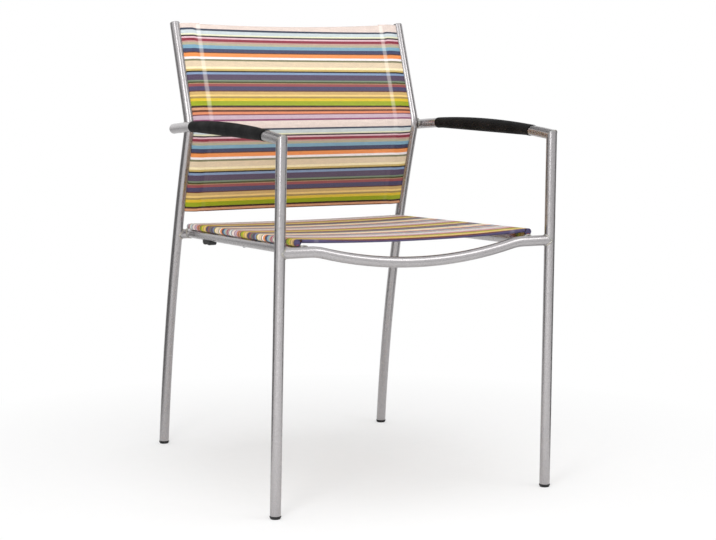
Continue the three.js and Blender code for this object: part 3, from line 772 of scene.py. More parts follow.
# Striped open-weave fabric: each stripe's colour, and its width in millimetres, over one repeat
STRIPES = {
    "cream": ("e9d8cf", 12.0), "slate": ("3c4354", 2.9), "ice blue": ("cdd8dc", 6.1),
    "pale yellow": ("e8e8c8", 3.2), "dark brown": ("3c2c2e", 3.0), "pink": ("e6bfc9", 3.5),
    "wine red": ("8e2c3f", 5.0), "dusty rose": ("c49c92", 3.6), "stone": ("b2ae93", 4.3),
    "sky blue": ("7ca6bd", 6.9), "navy": ("3c4060", 6.9), "cocoa": ("5a3527", 2.1),
    "orange": ("ef9450", 7.9), "white": ("faf1f1", 5.0), "olive": ("7f7e5c", 3.9),
    "sand": ("e4cfb0", 10.9), "butter": ("fbecc2", 5.2), "ochre": ("cdb168", 3.8),
    "black": ("26241c", 3.3), "light blue": ("8299bb", 4.6), "plum": ("53435c", 11.0),
    "grey green": ("76876f", 3.6), "dark olive": ("40421a", 2.5), "tan": ("af8a66", 1.9),
    "brick red": ("964a4c", 5.0), "violet": ("484163", 9.1), "maroon": ("5c2f2c", 2.2),
    "camel": ("cdaa6a", 5.9), "maize": ("f1cf80", 4.2), "khaki": ("a98f50", 3.7),
    "yellow": ("e2c12a", 5.0), "lime green": ("9aa80c", 9.2), "umber": ("3a2312", 3.3),
    "apricot": ("d79c74", 4.8), "chestnut": ("63351f", 4.2), "salmon": ("df8a60", 4.0),
    "mulberry": ("7c4248", 2.3), "lilac": ("c8afbd", 8.2), "purple": ("87426a", 3.3),
}
STRIPES_PER_RAMP = 20
REPEAT_LENGTH = sum(width for colour, width in STRIPES.values()) * MM
STRIPE_FUZZ = 0.9 * MM
YARN_PITCH = 1.15 * MM
OPENING_SHARES = (0.06, 0.28)
WELD_EDGE = (WELD_WIDTH * 0.3, WELD_WIDTH * 0.6)
# The weld lines' painted highlight: the lengths along the cloth where this painted sheen fades, and how
# far it pales the colour.
WELD_SHEEN_FADE = (150 * MM, 230 * MM)
WELD_HIGHLIGHT_SHARE = 0.24


def stripe_colour(graph, along):
    """The stripe's colour at a length along the cloth. A ramp is too short for all, so there are two."""
    share = graph.math("FRACT", graph.math("DIVIDE", along, REPEAT_LENGTH))
    stops = []
    travelled = 0.0
    for colour, width in STRIPES.values():
        stops.append((travelled * MM / REPEAT_LENGTH, linear(colour)))
        travelled += width
    first = graph.ramp(share, stops[:STRIPES_PER_RAMP])
    second = graph.ramp(share, stops[STRIPES_PER_RAMP:])
    past = graph.math("GREATER_THAN", share, stops[STRIPES_PER_RAMP][0])
    return graph.mix(past, first, second)


def make_sling_fabric(name, weld_place, weld_sheen_shares, painted_light_gain):
    """Coated yarn cloth: stripes, yarns with small openings between them, and weld lines along the hems.

    The weld lines get a painted highlight, set by the weld sheen shares, the first before and the last
    beyond the fade's places.
    The painted light gain multiplies the stripes' colours, lightening a whole sling as painted light."""
    graph = material_graph(name)
    across, along = graph.parts(graph.length_map())[:2]

    fuzz = graph.map_noise(across=2200.0, along=900.0, detail=2.0)
    wander = graph.times(graph.math("SUBTRACT", fuzz, 0.5), STRIPE_FUZZ)
    colour = stripe_colour(graph, graph.math("ADD", along, wander))

    turn = 2 * math.pi / YARN_PITCH
    warp = graph.math("COSINE", graph.times(across, turn))
    weft = graph.math("COSINE", graph.times(along, turn))
    weave = graph.times(warp, weft)

    yarns = graph.map_noise(across=35.0, along=1700.0, detail=2.0)
    blotches = graph.map_noise(across=90.0, along=260.0, detail=3.0)
    tone = graph.fit(yarns, (0.25, 0.75), (0.88, 1.08))
    tone = graph.times(tone, graph.fit(blotches, (0.3, 0.7), (0.95, 1.04)))
    tone = graph.times(tone, graph.fit(weave, (-1.0, 1.0), (1.04, 0.94)))
    # Painted light: the gain lightens all of a sling's colours.
    tone = graph.times(tone, painted_light_gain)
    colour = graph.mix(1.0, colour, tone, "MULTIPLY")

    # The weld lines: smoother and closed, with a painted highlight that mixes their colour towards a
    # pale tone and fades along the cloth as a sheen would.
    from_middle = graph.math("ABSOLUTE", across)
    from_weld = graph.math("ABSOLUTE", graph.math("SUBTRACT", from_middle, weld_place))
    weld_and_sheen = graph.fit(from_weld, WELD_EDGE, (1.0, 0.0))
    weld_and_sheen = graph.times(weld_and_sheen, graph.fit(along, WELD_SHEEN_FADE, weld_sheen_shares))
    colour = graph.mix(graph.times(weld_and_sheen, WELD_HIGHLIGHT_SHARE), colour, linear("f4efe8"))

    openings = graph.fit(weave, (-0.4, 0.9), OPENING_SHARES)
    openings = graph.times(openings, graph.math("SUBTRACT", 1.0, weld_and_sheen))
    return graph.principled({
        "Base Color": colour,
        "Roughness": graph.fit(weld_and_sheen, (0.0, 1.0), (0.6, 0.3)),
        "Specular IOR Level": 0.5,
        "Alpha": graph.math("SUBTRACT", 1.0, openings),
        "Normal": graph.bump(weave, strength=0.35, distance=0.25 * MM),
    })


# Where the stripes' repeat starts on each sling, and how the stretched cloth shifts it.
# The back's places are lengths from its upper edge, each with its place in the stripes.
BACK_STRIPE_PLACES = [
    (-30 * MM, -20 * MM), (0, 5.8 * MM), (15.6 * MM, 16.5 * MM), (50 * MM, 48.8 * MM),
    (98 * MM, 95.8 * MM), (157 * MM, 155.3 * MM), (172 * MM, 169.3 * MM), (191 * MM, 187 * MM),
    # The last place is shifted so that a dark stripe falls on the bottom rows, as painted shade along
    # the folded bottom edge.
    (213 * MM, 209.6 * MM), (227 * MM, 224.3 * MM), (390 * MM, 381.2 * MM),
]
BACK_SKEW = 4.8 * MM
BACK_SKEW_END = 205 * MM
BACK_SKEW_FADE = 30 * MM
BACK_TOP_BOW = 3 * MM
BACK_TOP_BOW_REACH = 45 * MM
SEAT_STRIPE_START = 137.5 * MM
SEAT_STRETCH = 1.073
SEAT_BOW = 5 * MM
SEAT_BOW_FLATNESS = 4
POCKET_END_STRIPE = 131.8 * MM


def back_stripe_place(top_distance):
    for (start, first), (end, last) in zip(BACK_STRIPE_PLACES, BACK_STRIPE_PLACES[1:]):
        if top_distance <= end:
            break
    return first + (last - first) * (top_distance - start) / (end - start)


def seat_stripe_place(x, setback):
    """The stripes bow forwards between the pockets."""
    bow = SEAT_BOW * (1 - min(1.0, abs(x) / ROD_HALF_WIDTH) ** SEAT_BOW_FLATNESS)
    return SEAT_STRIPE_START + bow + setback / SEAT_STRETCH


brushed_steel = make_brushed_steel("brushed_steel", "b3b0b1", roughness_range=(0.22, 0.32))
rod_steel = make_brushed_steel("rod_steel", "c4c5c6", roughness_range=(0.16, 0.24))
screw_steel = make_brushed_steel("screw_steel", "b4b6b8", roughness_range=(0.2, 0.3))
weld_steel = make_weld_steel()
black_sleeve = make_black_sleeve()
black_plastic = make_plastic("black_plastic", "0c0c0d", "1f1f21", roughness_range=(0.35, 0.55))
keder_plastic = make_plastic("keder_plastic", "dedbd0", "c9c5b8", roughness_range=(0.4, 0.6))


# Legs and arms

def arm_stations(side, start, end, steps):
    return stations_along([arm_point(side, s) for s in spread(start, end, steps)], UPWARD)


def make_leg_and_arm(word, side):
    """A front leg and its arm, mitred together where they meet, with a weld bead round the mitre."""
    point = leg_point(side, ARM_HEIGHT)
    down = (leg_point(side, 0) - point).normalized()
    back = (arm_point(side, 0) - arm_point(side, -CORNER_ADVANCE)).normalized()
    mitre = cut_at_plane(point, (back - down).normalized())
    floor = cut_at_plane(leg_point(side, TUBE_BOTTOM), UPWARD)
    heights = [TUBE_BOTTOM, ARM_HEIGHT / 3, ARM_HEIGHT * 2 / 3, ARM_HEIGHT]
    legs = stations_along([leg_point(side, height) for height in heights], AHEAD)
    settle(steel_tube(f"leg_tube_{word}", legs, floor, mitre), "frame_steel", f"front_leg_{word}")
    arms = arm_stations(side, -CORNER_ADVANCE, ARM_TAIL_SETBACK, ARM_STEPS)
    settle(steel_tube(f"arm_tube_{word}", arms, mitre), "frame_steel", f"arm_rail_{word}")
    sink = MITRE_BEAD_RADIUS * MITRE_SINK_SHARE
    make_tube_bead(f"weld_corner_{word}", legs[-1], mitre, MITRE_BEAD_RADIUS, sink)


def make_arm_cap(word, side):
    end = arm_stations(side, -CORNER_ADVANCE, ARM_TAIL_SETBACK, ARM_STEPS)[-1]
    profile = [(0, -CAP_STEM), (BORE_RADIUS, -CAP_STEM), (BORE_RADIUS, 0), (TUBE_RADIUS, 0)]
    profile += arc(TUBE_RADIUS - 2 * EDGE_ROUND, CAP_THICKNESS - EDGE_ROUND, 2 * EDGE_ROUND, 0, 90)
    profile.append((0, CAP_THICKNESS + EDGE_ROUND))
    cap = turned(f"arm_tail_end_{word}", profile, end.point, end.direction, brushed_steel)
    settle(cap, "frame_steel", f"arm_tail_cap_{word}")


# Rear posts

def slot_cutter(side):
    """A bar along the post's upper part and bend, where the sling's edge goes into the tube."""
    along = Vector((math.cos(SLOT_TURN), -side * math.sin(SLOT_TURN)))
    across = Vector((-along.y, along.x)) * (SLOT_WIDTH / 2)
    reach = along * TUBE_DIAMETER
    corners = [-across, reach - across, reach + across, across, -across]
    stations = post_stations(side, BACK_BOTTOM_HEIGHT - FIT_GAP, TUBE_DIAMETER, SLOT_STEPS)
    rows = [[station.at(c.x, c.y) for c in corners] for station in stations]
    cutter = Surface()
    cutter.grid(rows)
    for row in (rows[0], rows[-1]):
        cutter.grid([row[:2], [row[3], row[2]]])
    return cutter.build("slot_cutter", brushed_steel)


def make_rear_post(word, side):
    stations = post_stations(side, TUBE_BOTTOM, 0, POST_STEPS)
    floor = cut_at_plane(stations[0].point, UPWARD)
    post = steel_tube(f"post_tube_{word}", stations, floor)
    cut_away(post, slot_cutter(side), SHARP_ANGLE)
    settle(post, "frame_steel", f"rear_post_{word}")


def make_post_plug(word, side):
    end = post_stations(side, BACK_BOTTOM_HEIGHT, 0, SLOT_STEPS)[-1]
    stem = BORE_RADIUS * PLUG_STEM_SHARE
    top = PLUG_THICKNESS + FIT_GAP
    rounding = top * PLUG_ROUND_SHARE
    profile = [(0, -PLUG_STEM), (stem, -PLUG_STEM), (stem, 0), (TUBE_RADIUS, 0)]
    profile += arc(TUBE_RADIUS - rounding, top - rounding, rounding, 0, 90)
    profile.append((0, top))
    plug = turned(f"post_top_end_{word}", profile, end.point, end.direction, brushed_steel)
    settle(plug, "frame_steel", f"post_top_plug_{word}")


def make_arm_weld(word, side):
    """Weld bead where the arm passes along the outside of the post's bend."""
    post = post_stations(side, BACK_BOTTOM_HEIGHT, 0, SLOT_STEPS)
    bend = min(post, key=lambda station: abs(station.point.z - BEND_HEIGHT))
    contact = (bend.point + arm_point(side, BEND_SETBACK)) / 2
    half_long = TUBE_RADIUS * ARM_WELD_LENGTH_SHARE
    half_tall = TUBE_RADIUS * ARM_WELD_HEIGHT_SHARE
    length = 2 * math.pi * half_tall
    steps = bead_steps(length)
    sections = []
    for i in range(steps + 1):
        angle = 2 * math.pi * (i % steps) / steps
        offset = Vector((0, half_long * math.cos(angle), half_tall * math.sin(angle)))
        turning = Vector((0, -half_long * math.sin(angle), half_tall * math.cos(angle)))
        sections.append(Station(contact + offset, turning, offset))
    make_bead(f"weld_arm_post_{word}", sections, length, BEAD_RADIUS)


# Rails below the seat

def make_rail(tube_name, node, stations, cuts, weld_names):
    """A rail between two tubes, with a weld bead round each of its ends."""
    settle(steel_tube(tube_name, stations, *cuts), "frame_steel", node)
    for weld_name, station, cut in zip(weld_names, (stations[0], stations[-1]), cuts):
        make_tube_bead(weld_name, station, cut, BEAD_RADIUS)


def straight_stations(start, end):
    return stations_along([start, start.lerp(end, 0.5), end], UPWARD)


def make_front_rail():
    cuts = []
    for side in SIDES.values():
        axis = leg_point(side, ARM_HEIGHT) - leg_point(side, 0)
        cuts.append(cut_at_tube(leg_point(side, RAIL_HEIGHT), axis, Vector((side, 0, 0))))
    stations = stations_along(front_rail_route(), UPWARD)
    welds = [f"weld_front_rail_{word}" for word in SIDES]
    make_rail("front_rail_tube", "front_cross_rail", stations, cuts, welds)


def make_rear_rail():
    ends = [post_point(side, REAR_RAIL_HEIGHT) for side in SIDES.values()]
    cuts = []
    for side, end in zip(SIDES.values(), ends):
        axis = post_point(side, REAR_RAIL_HEIGHT + TUBE_DIAMETER) - end
        cuts.append(cut_at_tube(end, axis, Vector((side, 0, 0))))
    welds = [f"weld_rear_rail_{word}" for word in SIDES]
    make_rail("rear_rail_tube", "rear_cross_rail", straight_stations(*ends), cuts, welds)


def make_side_rail(word, side):
    across = Vector((1, 0, 0))
    front_rail = place(side * SIDE_RAIL_HALF_WIDTH, SIDE_RAIL_FRONT, RAIL_HEIGHT)
    rear_rail = place(0, SIDE_RAIL_REAR, REAR_RAIL_HEIGHT)
    cuts = [cut_at_tube(front_rail, across, AHEAD), cut_at_tube(rear_rail, across, -AHEAD)]
    ends = [side_rail_point(side, setback) for setback in (SIDE_RAIL_FRONT, SIDE_RAIL_REAR)]
    welds = [f"weld_side_rail_{end}_{word}" for end in ("front", "rear")]
    stations = straight_stations(*ends)
    make_rail(f"side_rail_tube_{word}", f"seat_side_rail_{word}", stations, cuts, welds)


# Rods, screws and bumpers

def make_seat_rod(word, side):
    insets = [0.0, ROD_END_ROUND * ROD_END_SHARE, ROD_END_ROUND]
    setbacks = [-ROD_FRONT + inset for inset in insets]
    setbacks += [ROD_REAR_SETBACK - inset for inset in reversed(insets)]
    edge = [ROD_RADIUS - inset for inset in reversed(insets)]
    stations = stations_along([rod_point(side, s) for s in setbacks], UPWARD)
    rod = solid_sweep(f"seat_rod_{word}", stations, edge + edge[::-1], rod_steel)
    settle(rod, "frame_steel", f"seat_sling_rod_{word}")


def make_screw(name, node, seat, axis, length, diameter, head_diameter, head_height, socket):
    """A round-headed screw with a six-sided socket, its shank going up along the axis."""
    quarter = head_diameter / 4
    profile = [(0, -head_height)]
    profile += [
        (quarter + quarter * math.sin(a), -head_height * math.cos(a))
        for a in spread(0, math.pi / 2, ARC_STEPS)
    ]
    profile += [(diameter / 2, 0), (diameter / 2, length), (0, length)]
    screw = turned(name, profile, seat, axis, screw_steel, ROD_SIDES)
    floor = Station(seat - axis * (head_height * SOCKET_FLOOR_SHARE), axis, AHEAD)
    mouth = Station(seat - axis * (head_height * SOCKET_MOUTH_SHARE), axis, AHEAD)
    reach = socket / 2 / math.cos(math.pi / SOCKET_SIDES)
    recess = [
        ring(station, radius, SOCKET_SIDES)
        for station, radius in ((floor, 0.0), (floor, reach), (mouth, reach), (mouth, 0.0))
    ]
    cut_away(screw, grid_object("socket_cutter", screw_steel, recess), SCREW_SHARP_ANGLE)
    settle(screw, "screw_steel", node)


def make_rod_screws(word, side):
    length = TUBE_RADIUS + ROD_DISTANCE + SCREW_BITE
    for spot, share in SCREW_SHARES.items():
        setback = ROD_REAR_SETBACK * share - ROD_FRONT * (1 - share)
        rail = side_rail_point(side, setback)
        axis = (rod_point(side, setback) - rail).normalized()
        name = f"rod_screw_{word}_{spot}"
        make_screw(name, f"seat_{name}", rail - axis * TUBE_RADIUS, axis, length, **ROD_SCREW)


def refine_node(node_name, edge, material):
    """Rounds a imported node's edges and gives it a finish, its own vertices left as they are."""
    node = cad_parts[node_name]
    joining = node.modifiers.new("weld", "WELD")
    joining.merge_threshold = FACET_JOIN_DISTANCE
    rounding = node.modifiers.new("rounding", "BEVEL")
    rounding.width = edge
    rounding.segments = EDGE_SEGMENTS
    rounding.limit_method = "ANGLE"
    rounding.angle_limit = SHARP_ANGLE
    rounding.harden_normals = True
    node.data.shade_smooth()
    node.data.materials.clear()
    node.data.materials.append(material)


def make_bumper(word, side):
    """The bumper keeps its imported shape, with softened edges, and gets a finer screw."""
    refine_node(f"stacking_bumper_{word}", BUMPER_EDGE, black_plastic)
    seat = side_rail_point(side, BUMPER_SETBACK) - RAIL_UP * (TUBE_RADIUS + FIT_GAP + BUMPER_WEB)
    length = BUMPER_WEB + 2 * TUBE_WALL
    make_screw(f"bumper_fixing_{word}", f"bumper_screw_{word}", seat, RAIL_UP, length, **BUMPER_SCREW)


# Arm pads and feet

def make_arm_pad(word, side):
    """A sleeve with a square rear end and a slanted front end, both with rounded rims."""
    inner = TUBE_RADIUS + FIT_GAP / 2
    outer = PAD_DIAMETER / 2
    front = arm_stations(side, PAD_FRONT_SETBACK - PAD_SLANT, PAD_FRONT_SETBACK + PAD_SLANT, 2)[1]
    slant = (-front.direction * PAD_DIAMETER - front.front * PAD_SLANT).normalized()
    body = arm_stations(side, PAD_FRONT_SETBACK + PAD_SLANT, PAD_REAR_SETBACK, PAD_STEPS)
    end = body[-1]
    rims = [
        (outer - PAD_EDGE + PAD_EDGE * math.sin(angle), PAD_EDGE * (1 - math.cos(angle)))
        for angle in spread(0, math.pi / 2, PAD_RIM_STEPS)
    ]
    rows = [ring(front, inner, TUBE_SIDES, cut_at_plane(front.point, slant))]
    for radius, inset in rims:
        cut = cut_at_plane(front.point + front.direction * inset, slant)
        rows.append(ring(front, radius, TUBE_SIDES, cut))
    rows += [ring(station, outer, TUBE_SIDES) for station in body[:-1]]
    for radius, inset in reversed(rims):
        section = Station(end.point - end.direction * inset, end.direction, UPWARD)
        rows.append(ring(section, radius, TUBE_SIDES))
    rows.append(ring(end, inner, TUBE_SIDES))
    rows.append(rows[0])
    maps = [ring_map(outer, TUBE_SIDES, row[0].y - FEET_Y) for row in rows]
    pad = grid_object(f"arm_sleeve_{word}", black_sleeve, rows, maps, PAD_SHARP_ANGLE)
    settle(pad, "arm_sleeve", f"arm_pad_{word}")


def make_glide(name, node, tube_point):
    """A flared foot below a leg, with a stem that goes up into the tube."""
    bottom = GLIDE_BOTTOM_DIAMETER / 2
    top = GLIDE_TOP_DIAMETER / 2
    stem = BORE_RADIUS * GLIDE_STEM_SHARE
    stem_top = GLIDE_HEIGHT + GLIDE_STEM
    profile = [(0, 0)]
    profile += arc(bottom - GLIDE_EDGE, GLIDE_EDGE, GLIDE_EDGE, -90, GLIDE_FLARE_START)
    profile.append((top, GLIDE_HEIGHT - GLIDE_RIM))
    profile += arc(top - GLIDE_EDGE / 2, GLIDE_HEIGHT - GLIDE_EDGE / 2, GLIDE_EDGE / 2, 0, 90)
    profile += [(stem, GLIDE_HEIGHT), (stem, stem_top), (0, stem_top)]
    base = Vector((tube_point.x, tube_point.y, 0))
    settle(turned(name, profile, base, UPWARD, black_plastic), "foot_plastic", node)


def make_glides(word, side):
    make_glide(f"front_glide_{word}", f"front_foot_glide_{word}", leg_point(side, GLIDE_HEIGHT))
    make_glide(f"rear_glide_{word}", f"rear_foot_glide_{word}", post_point(side, GLIDE_HEIGHT))


# Slings: sheets made of rows of spots, each a point of the cloth's middle with its map place

class Cloth:
    def __init__(self):
        self.surface = Surface()
        self.area = 0.0

    def add(self, spots, outward):
        """Adds a sheet of cloth thickness. Outward is the normal's rough direction at the middle."""
        points = [[point for point, where in row] for row in spots]
        maps = [[where for point, where in row] for row in spots]
        rows = len(points)
        columns = len(points[0])

        def normal(r, c):
            down = points[min(r + 1, rows - 1)][c] - points[max(r - 1, 0)][c]
            over = points[r][min(c + 1, columns - 1)] - points[r][max(c - 1, 0)]
            return down.cross(over).normalized()

        normals = [[normal(r, c) for c in range(columns)] for r in range(rows)]
        facing = 1 if normals[rows // 2][columns // 2].dot(outward) > 0 else -1
        half = FABRIC / 2 * facing
        top = [[p + n * half for p, n in zip(*pair)] for pair in zip(points, normals)]
        under = [[p - n * half for p, n in zip(*pair)] for pair in zip(points, normals)]
        self.surface.grid(top, maps)
        self.surface.grid(under, maps)
        for r in (0, rows - 1):
            self.surface.grid([top[r], under[r]], [maps[r], maps[r]])
        for c in (0, columns - 1):
            edge = [[top[r][c], under[r][c]] for r in range(rows)]
            self.surface.grid(edge, [[maps[r][c], maps[r][c]] for r in range(rows)])
        for r in range(rows - 1):
            for c in range(columns - 1):
                across = points[r][c + 1] - points[r][c]
                down = points[r + 1][c] - points[r][c]
                self.area += across.cross(down).length

    def build(self, name, material):
        return self.surface.build(name, material, CLOTH_SHARP_ANGLE)


# Back sling

def keder_wrap():
    """Half of the sling's level section, from the hem behind the panel round the keder to the front.

    Each point is inwards and forwards of the post's axis."""
    slot = Vector((math.sin(SLOT_TURN), math.cos(SLOT_TURN)))
    centre = Vector((math.sin(KEDER_TURN), math.cos(KEDER_TURN))) * KEDER_OFFSET
    in_wall = slot * (TUBE_RADIUS - TUBE_WALL / 2)
    lead = (in_wall - centre).normalized()
    across = Vector((lead.y, -lead.x))
    half = FABRIC * SLOT_LAYER_SHARE
    mouth = in_wall + lead * MOUTH_REACH
    behind = BACK_DEPTH - LAYER_STEP

    def to_panel(start, depth):
        control = start + lead * ((depth - start.y) / lead.y)
        end = Vector((SIDE_BEND_END, depth))
        return [bezier(start, control, end, share) for share in spread(0, 1, WRAP_BEND_STEPS)]

    points = [Vector((x, behind)) for x in spread(BACK_HEM_WIDTH, SIDE_BEND_END, WRAP_BEND_STEPS)][:-1]
    points += reversed(to_panel(mouth + across * half, behind))
    opening = math.asin(half / KEDER_MIDDLE)
    for angle in spread(-opening, opening - 2 * math.pi, KEDER_WRAP_STEPS):
        turned_lead = lead * math.cos(angle) - across * math.sin(angle)
        points.append(centre + turned_lead * KEDER_MIDDLE)
    points += to_panel(mouth - across * half, BACK_DEPTH)
    return points


def make_back_sling():
    wrap = keder_wrap()
    lengths = distances(wrap)
    panel_half = BEND_HALF_WIDTH - wrap[-1].x
    ends = [panel_half + lengths[-1] - travelled for travelled in lengths]
    columns = spread(-panel_half, panel_half, BACK_COLUMNS)[1:-1]
    left, right = [
        post_stations(side, BACK_BOTTOM_HEIGHT, -BACK_TOP_GAP, SLING_STEPS) for side in SIDES.values()
    ]
    heights = distances([station.point for station in left])
    total = heights[-1]

    def stripe_at(across, top_distance):
        upper = min(1.0, max(0.0, (BACK_SKEW_END - top_distance) / BACK_SKEW_FADE))
        near_top = max(0.0, 1 - top_distance / BACK_TOP_BOW_REACH)
        bow = BACK_TOP_BOW * near_top * max(0.0, 1 - (across / panel_half) ** 2)
        skew = BACK_SKEW * upper * (across / panel_half + 1) / 2
        return back_stripe_place(top_distance) + bow - skew

    def sag(across, top_distance, bottom_distance):
        shape = 1 - across ** 2
        near_top = max(0.0, 1 - top_distance / BACK_TOP_SAG_REACH)
        near_bottom = max(0.0, 1 - bottom_distance / BACK_TOP_SAG_REACH)
        return shape * (BACK_BOTTOM_SAG * near_bottom ** 2 - BACK_TOP_SAG * near_top ** 2)

    def panel_point(row, x, depth):
        share = (x + BEND_HALF_WIDTH) / (2 * BEND_HALF_WIDTH)
        front = left[row].front.lerp(right[row].front, share).normalized()
        point = left[row].point.lerp(right[row].point, share) + front * depth
        lift = sag(x / BEND_HALF_WIDTH, total - heights[row], heights[row])
        return point + left[row].direction * lift

    spots = []
    for row, height in enumerate(heights):
        line = [(left[row].at(p.y, p.x), -end) for p, end in zip(wrap, ends)]
        line += [(panel_point(row, x, BACK_DEPTH), x) for x in columns]
        line += [(right[row].at(p.y, -p.x), end) for p, end in zip(wrap[::-1], ends[::-1])]
        spots.append([(point, (u, stripe_at(u, total - height))) for point, u in line])
    cloth = Cloth()
    cloth.add(spots, AHEAD)

    # The folded strips behind the panel's upper and lower edges, between the side hems
    reach = BEND_HALF_WIDTH - BACK_HEM_WIDTH - BACK_HEM_GAP
    fold = LAYER_STEP / 2
    for end_row, up in ((len(heights) - 1, 1), (0, -1)):
        folds = [
            (end_row, fold - fold * math.cos(angle), up * fold * math.sin(angle))
            for angle in spread(0, math.pi, FOLD_STEPS)[1:-1]
        ]
        for row in range(len(heights))[::-up]:
            if abs(heights[row] - heights[end_row]) <= HEM_DEPTH + HEM_ROW_MARGIN:
                folds.append((row, 2 * fold, 0.0))
        cloth.add([
            [
                (
                    panel_point(row, x, BACK_DEPTH - behind) + left[row].direction * out,
                    (x, stripe_at(x, total - heights[row] - out)),
                )
                for x in spread(-reach, reach, HEM_COLUMNS)
            ]
            for row, behind, out in folds
        ], -AHEAD)

    weld = BEND_HALF_WIDTH - BACK_HEM_WIDTH + WELD_WIDTH / 2
    # The weld lines' painted highlight shows fully on the upper part of the back and fades to a tenth
    # below.
    fabric = make_sling_fabric("back_sling_fabric", weld, weld_sheen_shares=(1.0, 0.1), painted_light_gain=1.0)
    piece = cloth.build("back_sling_cloth", fabric)
    settle(piece, "sling_fabric", "back_sling")


# Seat sling

def seat_edge_height(setback):
    return rod_point(1, setback).z


def seat_sag(x, setback):
    share = (setback + SEAT_FRONT) / (SEAT_REAR_SETBACK + SEAT_FRONT)
    depth = SEAT_FRONT_SAG + (SEAT_REAR_SAG - SEAT_FRONT_SAG) * share
    return depth * (1 - (x / ROD_HALF_WIDTH) ** 2)


def seat_setback(share, front_inset=HEM_ROLLS["front"], rear_inset=HEM_ROLLS["rear"]):
    """A place between the cloth's front and rear edges, by its share of the way."""
    front = -SEAT_FRONT + front_inset
    return front + (SEAT_REAR_SETBACK - rear_inset - front) * share


def seat_panel_point(x, setback, depth):
    height = seat_edge_height(setback) + POCKET_MIDDLE - seat_sag(x, setback)
    return place(x, setback, height - depth)


def rod_wrap():
    """Half of the seat's cross section, from the hem under the panel round the rod to its top.

    Each point is outwards and above the rod's axis."""

    def on_rod(angle):
        return Vector((POCKET_MIDDLE * math.cos(angle), POCKET_MIDDLE * math.sin(angle)))

    under = POCKET_MIDDLE - LAYER_STEP
    start = on_rod(UNDER_LEAVE_TURN)
    heading = Vector((math.sin(UNDER_LEAVE_TURN), -math.cos(UNDER_LEAVE_TURN)))
    control = start + heading * ((under - start.y) / heading.y)
    end = Vector((-UNDER_BEND_START, under))
    points = [Vector((x, under)) for x in spread(-SEAT_HEM_WIDTH, end.x, UNDER_STEPS)][:-1]
    points += [bezier(end, control, start, share) for share in spread(0, 1, WRAP_BEND_STEPS)][:-1]
    points += [on_rod(angle) for angle in spread(UNDER_LEAVE_TURN, math.pi / 2, ROD_WRAP_STEPS)]
    return points


def make_seat_sling():
    wrap = rod_wrap()
    lengths = distances(wrap)

    def wrap_spot(p, travelled, setback):
        out = ROD_HALF_WIDTH + p.x
        drop = seat_sag(out, setback) if p.x < -UNDER_SAG_START else 0.0
        across = -(ROD_HALF_WIDTH + lengths[-1] - travelled)
        point = place(-out, setback, seat_edge_height(setback) + p.y - drop)
        return point, (across, seat_stripe_place(across, setback))

    spots = []
    for share in spread(0, 1, SEAT_ROWS):
        setback = seat_setback(share, POCKET_INSET, POCKET_INSET)
        wrapped = [wrap_spot(p, travelled, setback) for p, travelled in zip(wrap, lengths)]
        mirrored = [(Vector((-p.x, p.y, p.z)), (-u, v)) for p, (u, v) in reversed(wrapped)]
        setback = seat_setback(share)
        panel = [
            (seat_panel_point(x, setback, 0.0), (x, seat_stripe_place(x, setback)))
            for x in spread(-ROD_HALF_WIDTH, ROD_HALF_WIDTH, SEAT_COLUMNS)[1:-1]
        ]
        spots.append(wrapped + panel + mirrored)
    cloth = Cloth()
    cloth.add(spots, UPWARD)
    add_seat_hem(cloth, HEM_ROLLS["front"], seat_setback(0), -1)
    add_seat_hem(cloth, HEM_ROLLS["rear"], seat_setback(1), 1)
    for side in SIDES.values():
        add_pocket_end(cloth, side)

    # The seat's weld lines carry a faint painted highlight all along.
    weld = ROD_HALF_WIDTH - SEAT_HEM_WIDTH + WELD_WIDTH / 2
    # Painted light: the seat cloth's colours are made 16 per cent lighter, standing for light and sheen
    # that its lamps don't give it.
    fabric = make_sling_fabric("seat_sling_fabric", weld, weld_sheen_shares=(0.3, 0.3), painted_light_gain=1.16)
    piece = cloth.build("seat_sling_cloth", fabric)
    settle(piece, "sling_fabric", "seat_sling")


def add_seat_hem(cloth, roll, start, back):
    """The rolled strip under the seat's front or rear edge, between the pockets.

    It starts at a setback and first goes back, with back as 1, or ahead, with back as -1."""
    folds = [
        (back * roll * math.sin(angle), roll * (1 - math.cos(angle)), back * roll * angle)
        for angle in spread(0, math.pi, ROLL_STEPS)
    ]
    for share in spread(0, 1, HEM_ROWS)[1:]:
        depth = LAYER_STEP + (2 * roll - LAYER_STEP) * (1 - share) ** HEM_TAPER
        travelled = back * (roll * math.pi + HEM_DEPTH * share)
        folds.append((-back * HEM_DEPTH * share, depth, travelled))
    reach = ROD_HALF_WIDTH - POCKET_RADIUS - SEAT_HEM_GAP
    cloth.add([
        [
            (seat_panel_point(x, start + step, depth), (x, seat_stripe_place(x, start + travelled)))
            for x in spread(-reach, reach, HEM_COLUMNS)
        ]
        for step, depth, travelled in folds
    ], -UPWARD)


def add_pocket_end(cloth, side):
    """The cloth tucked in at a side pocket's front end, ahead of the rod."""
    radius = ROD_RADIUS + FIT_GAP / 2

    def spot(a, b):
        across = a * math.sqrt(1 - b * b / 2)
        rise = b * math.sqrt(1 - a * a / 2)
        wave = math.sin(POCKET_CRUMPLE_ACROSS * a + POCKET_CRUMPLE_UP * b)
        bulge = POCKET_END_BULGE * (1 - across ** 2 - rise ** 2 + POCKET_CRUMPLE_SHARE * wave)
        middle = rod_point(side, POCKET_END_SETBACK - bulge)
        where = (side * ROD_HALF_WIDTH + across * radius, POCKET_END_STRIPE + rise * radius)
        return middle + Vector((across, 0, rise)) * radius, where

    shares = spread(-1, 1, POCKET_END_STEPS)
    cloth.add([[spot(a, b) for a in shares] for b in shares], AHEAD)


# Stage: floor, lights, world and camera

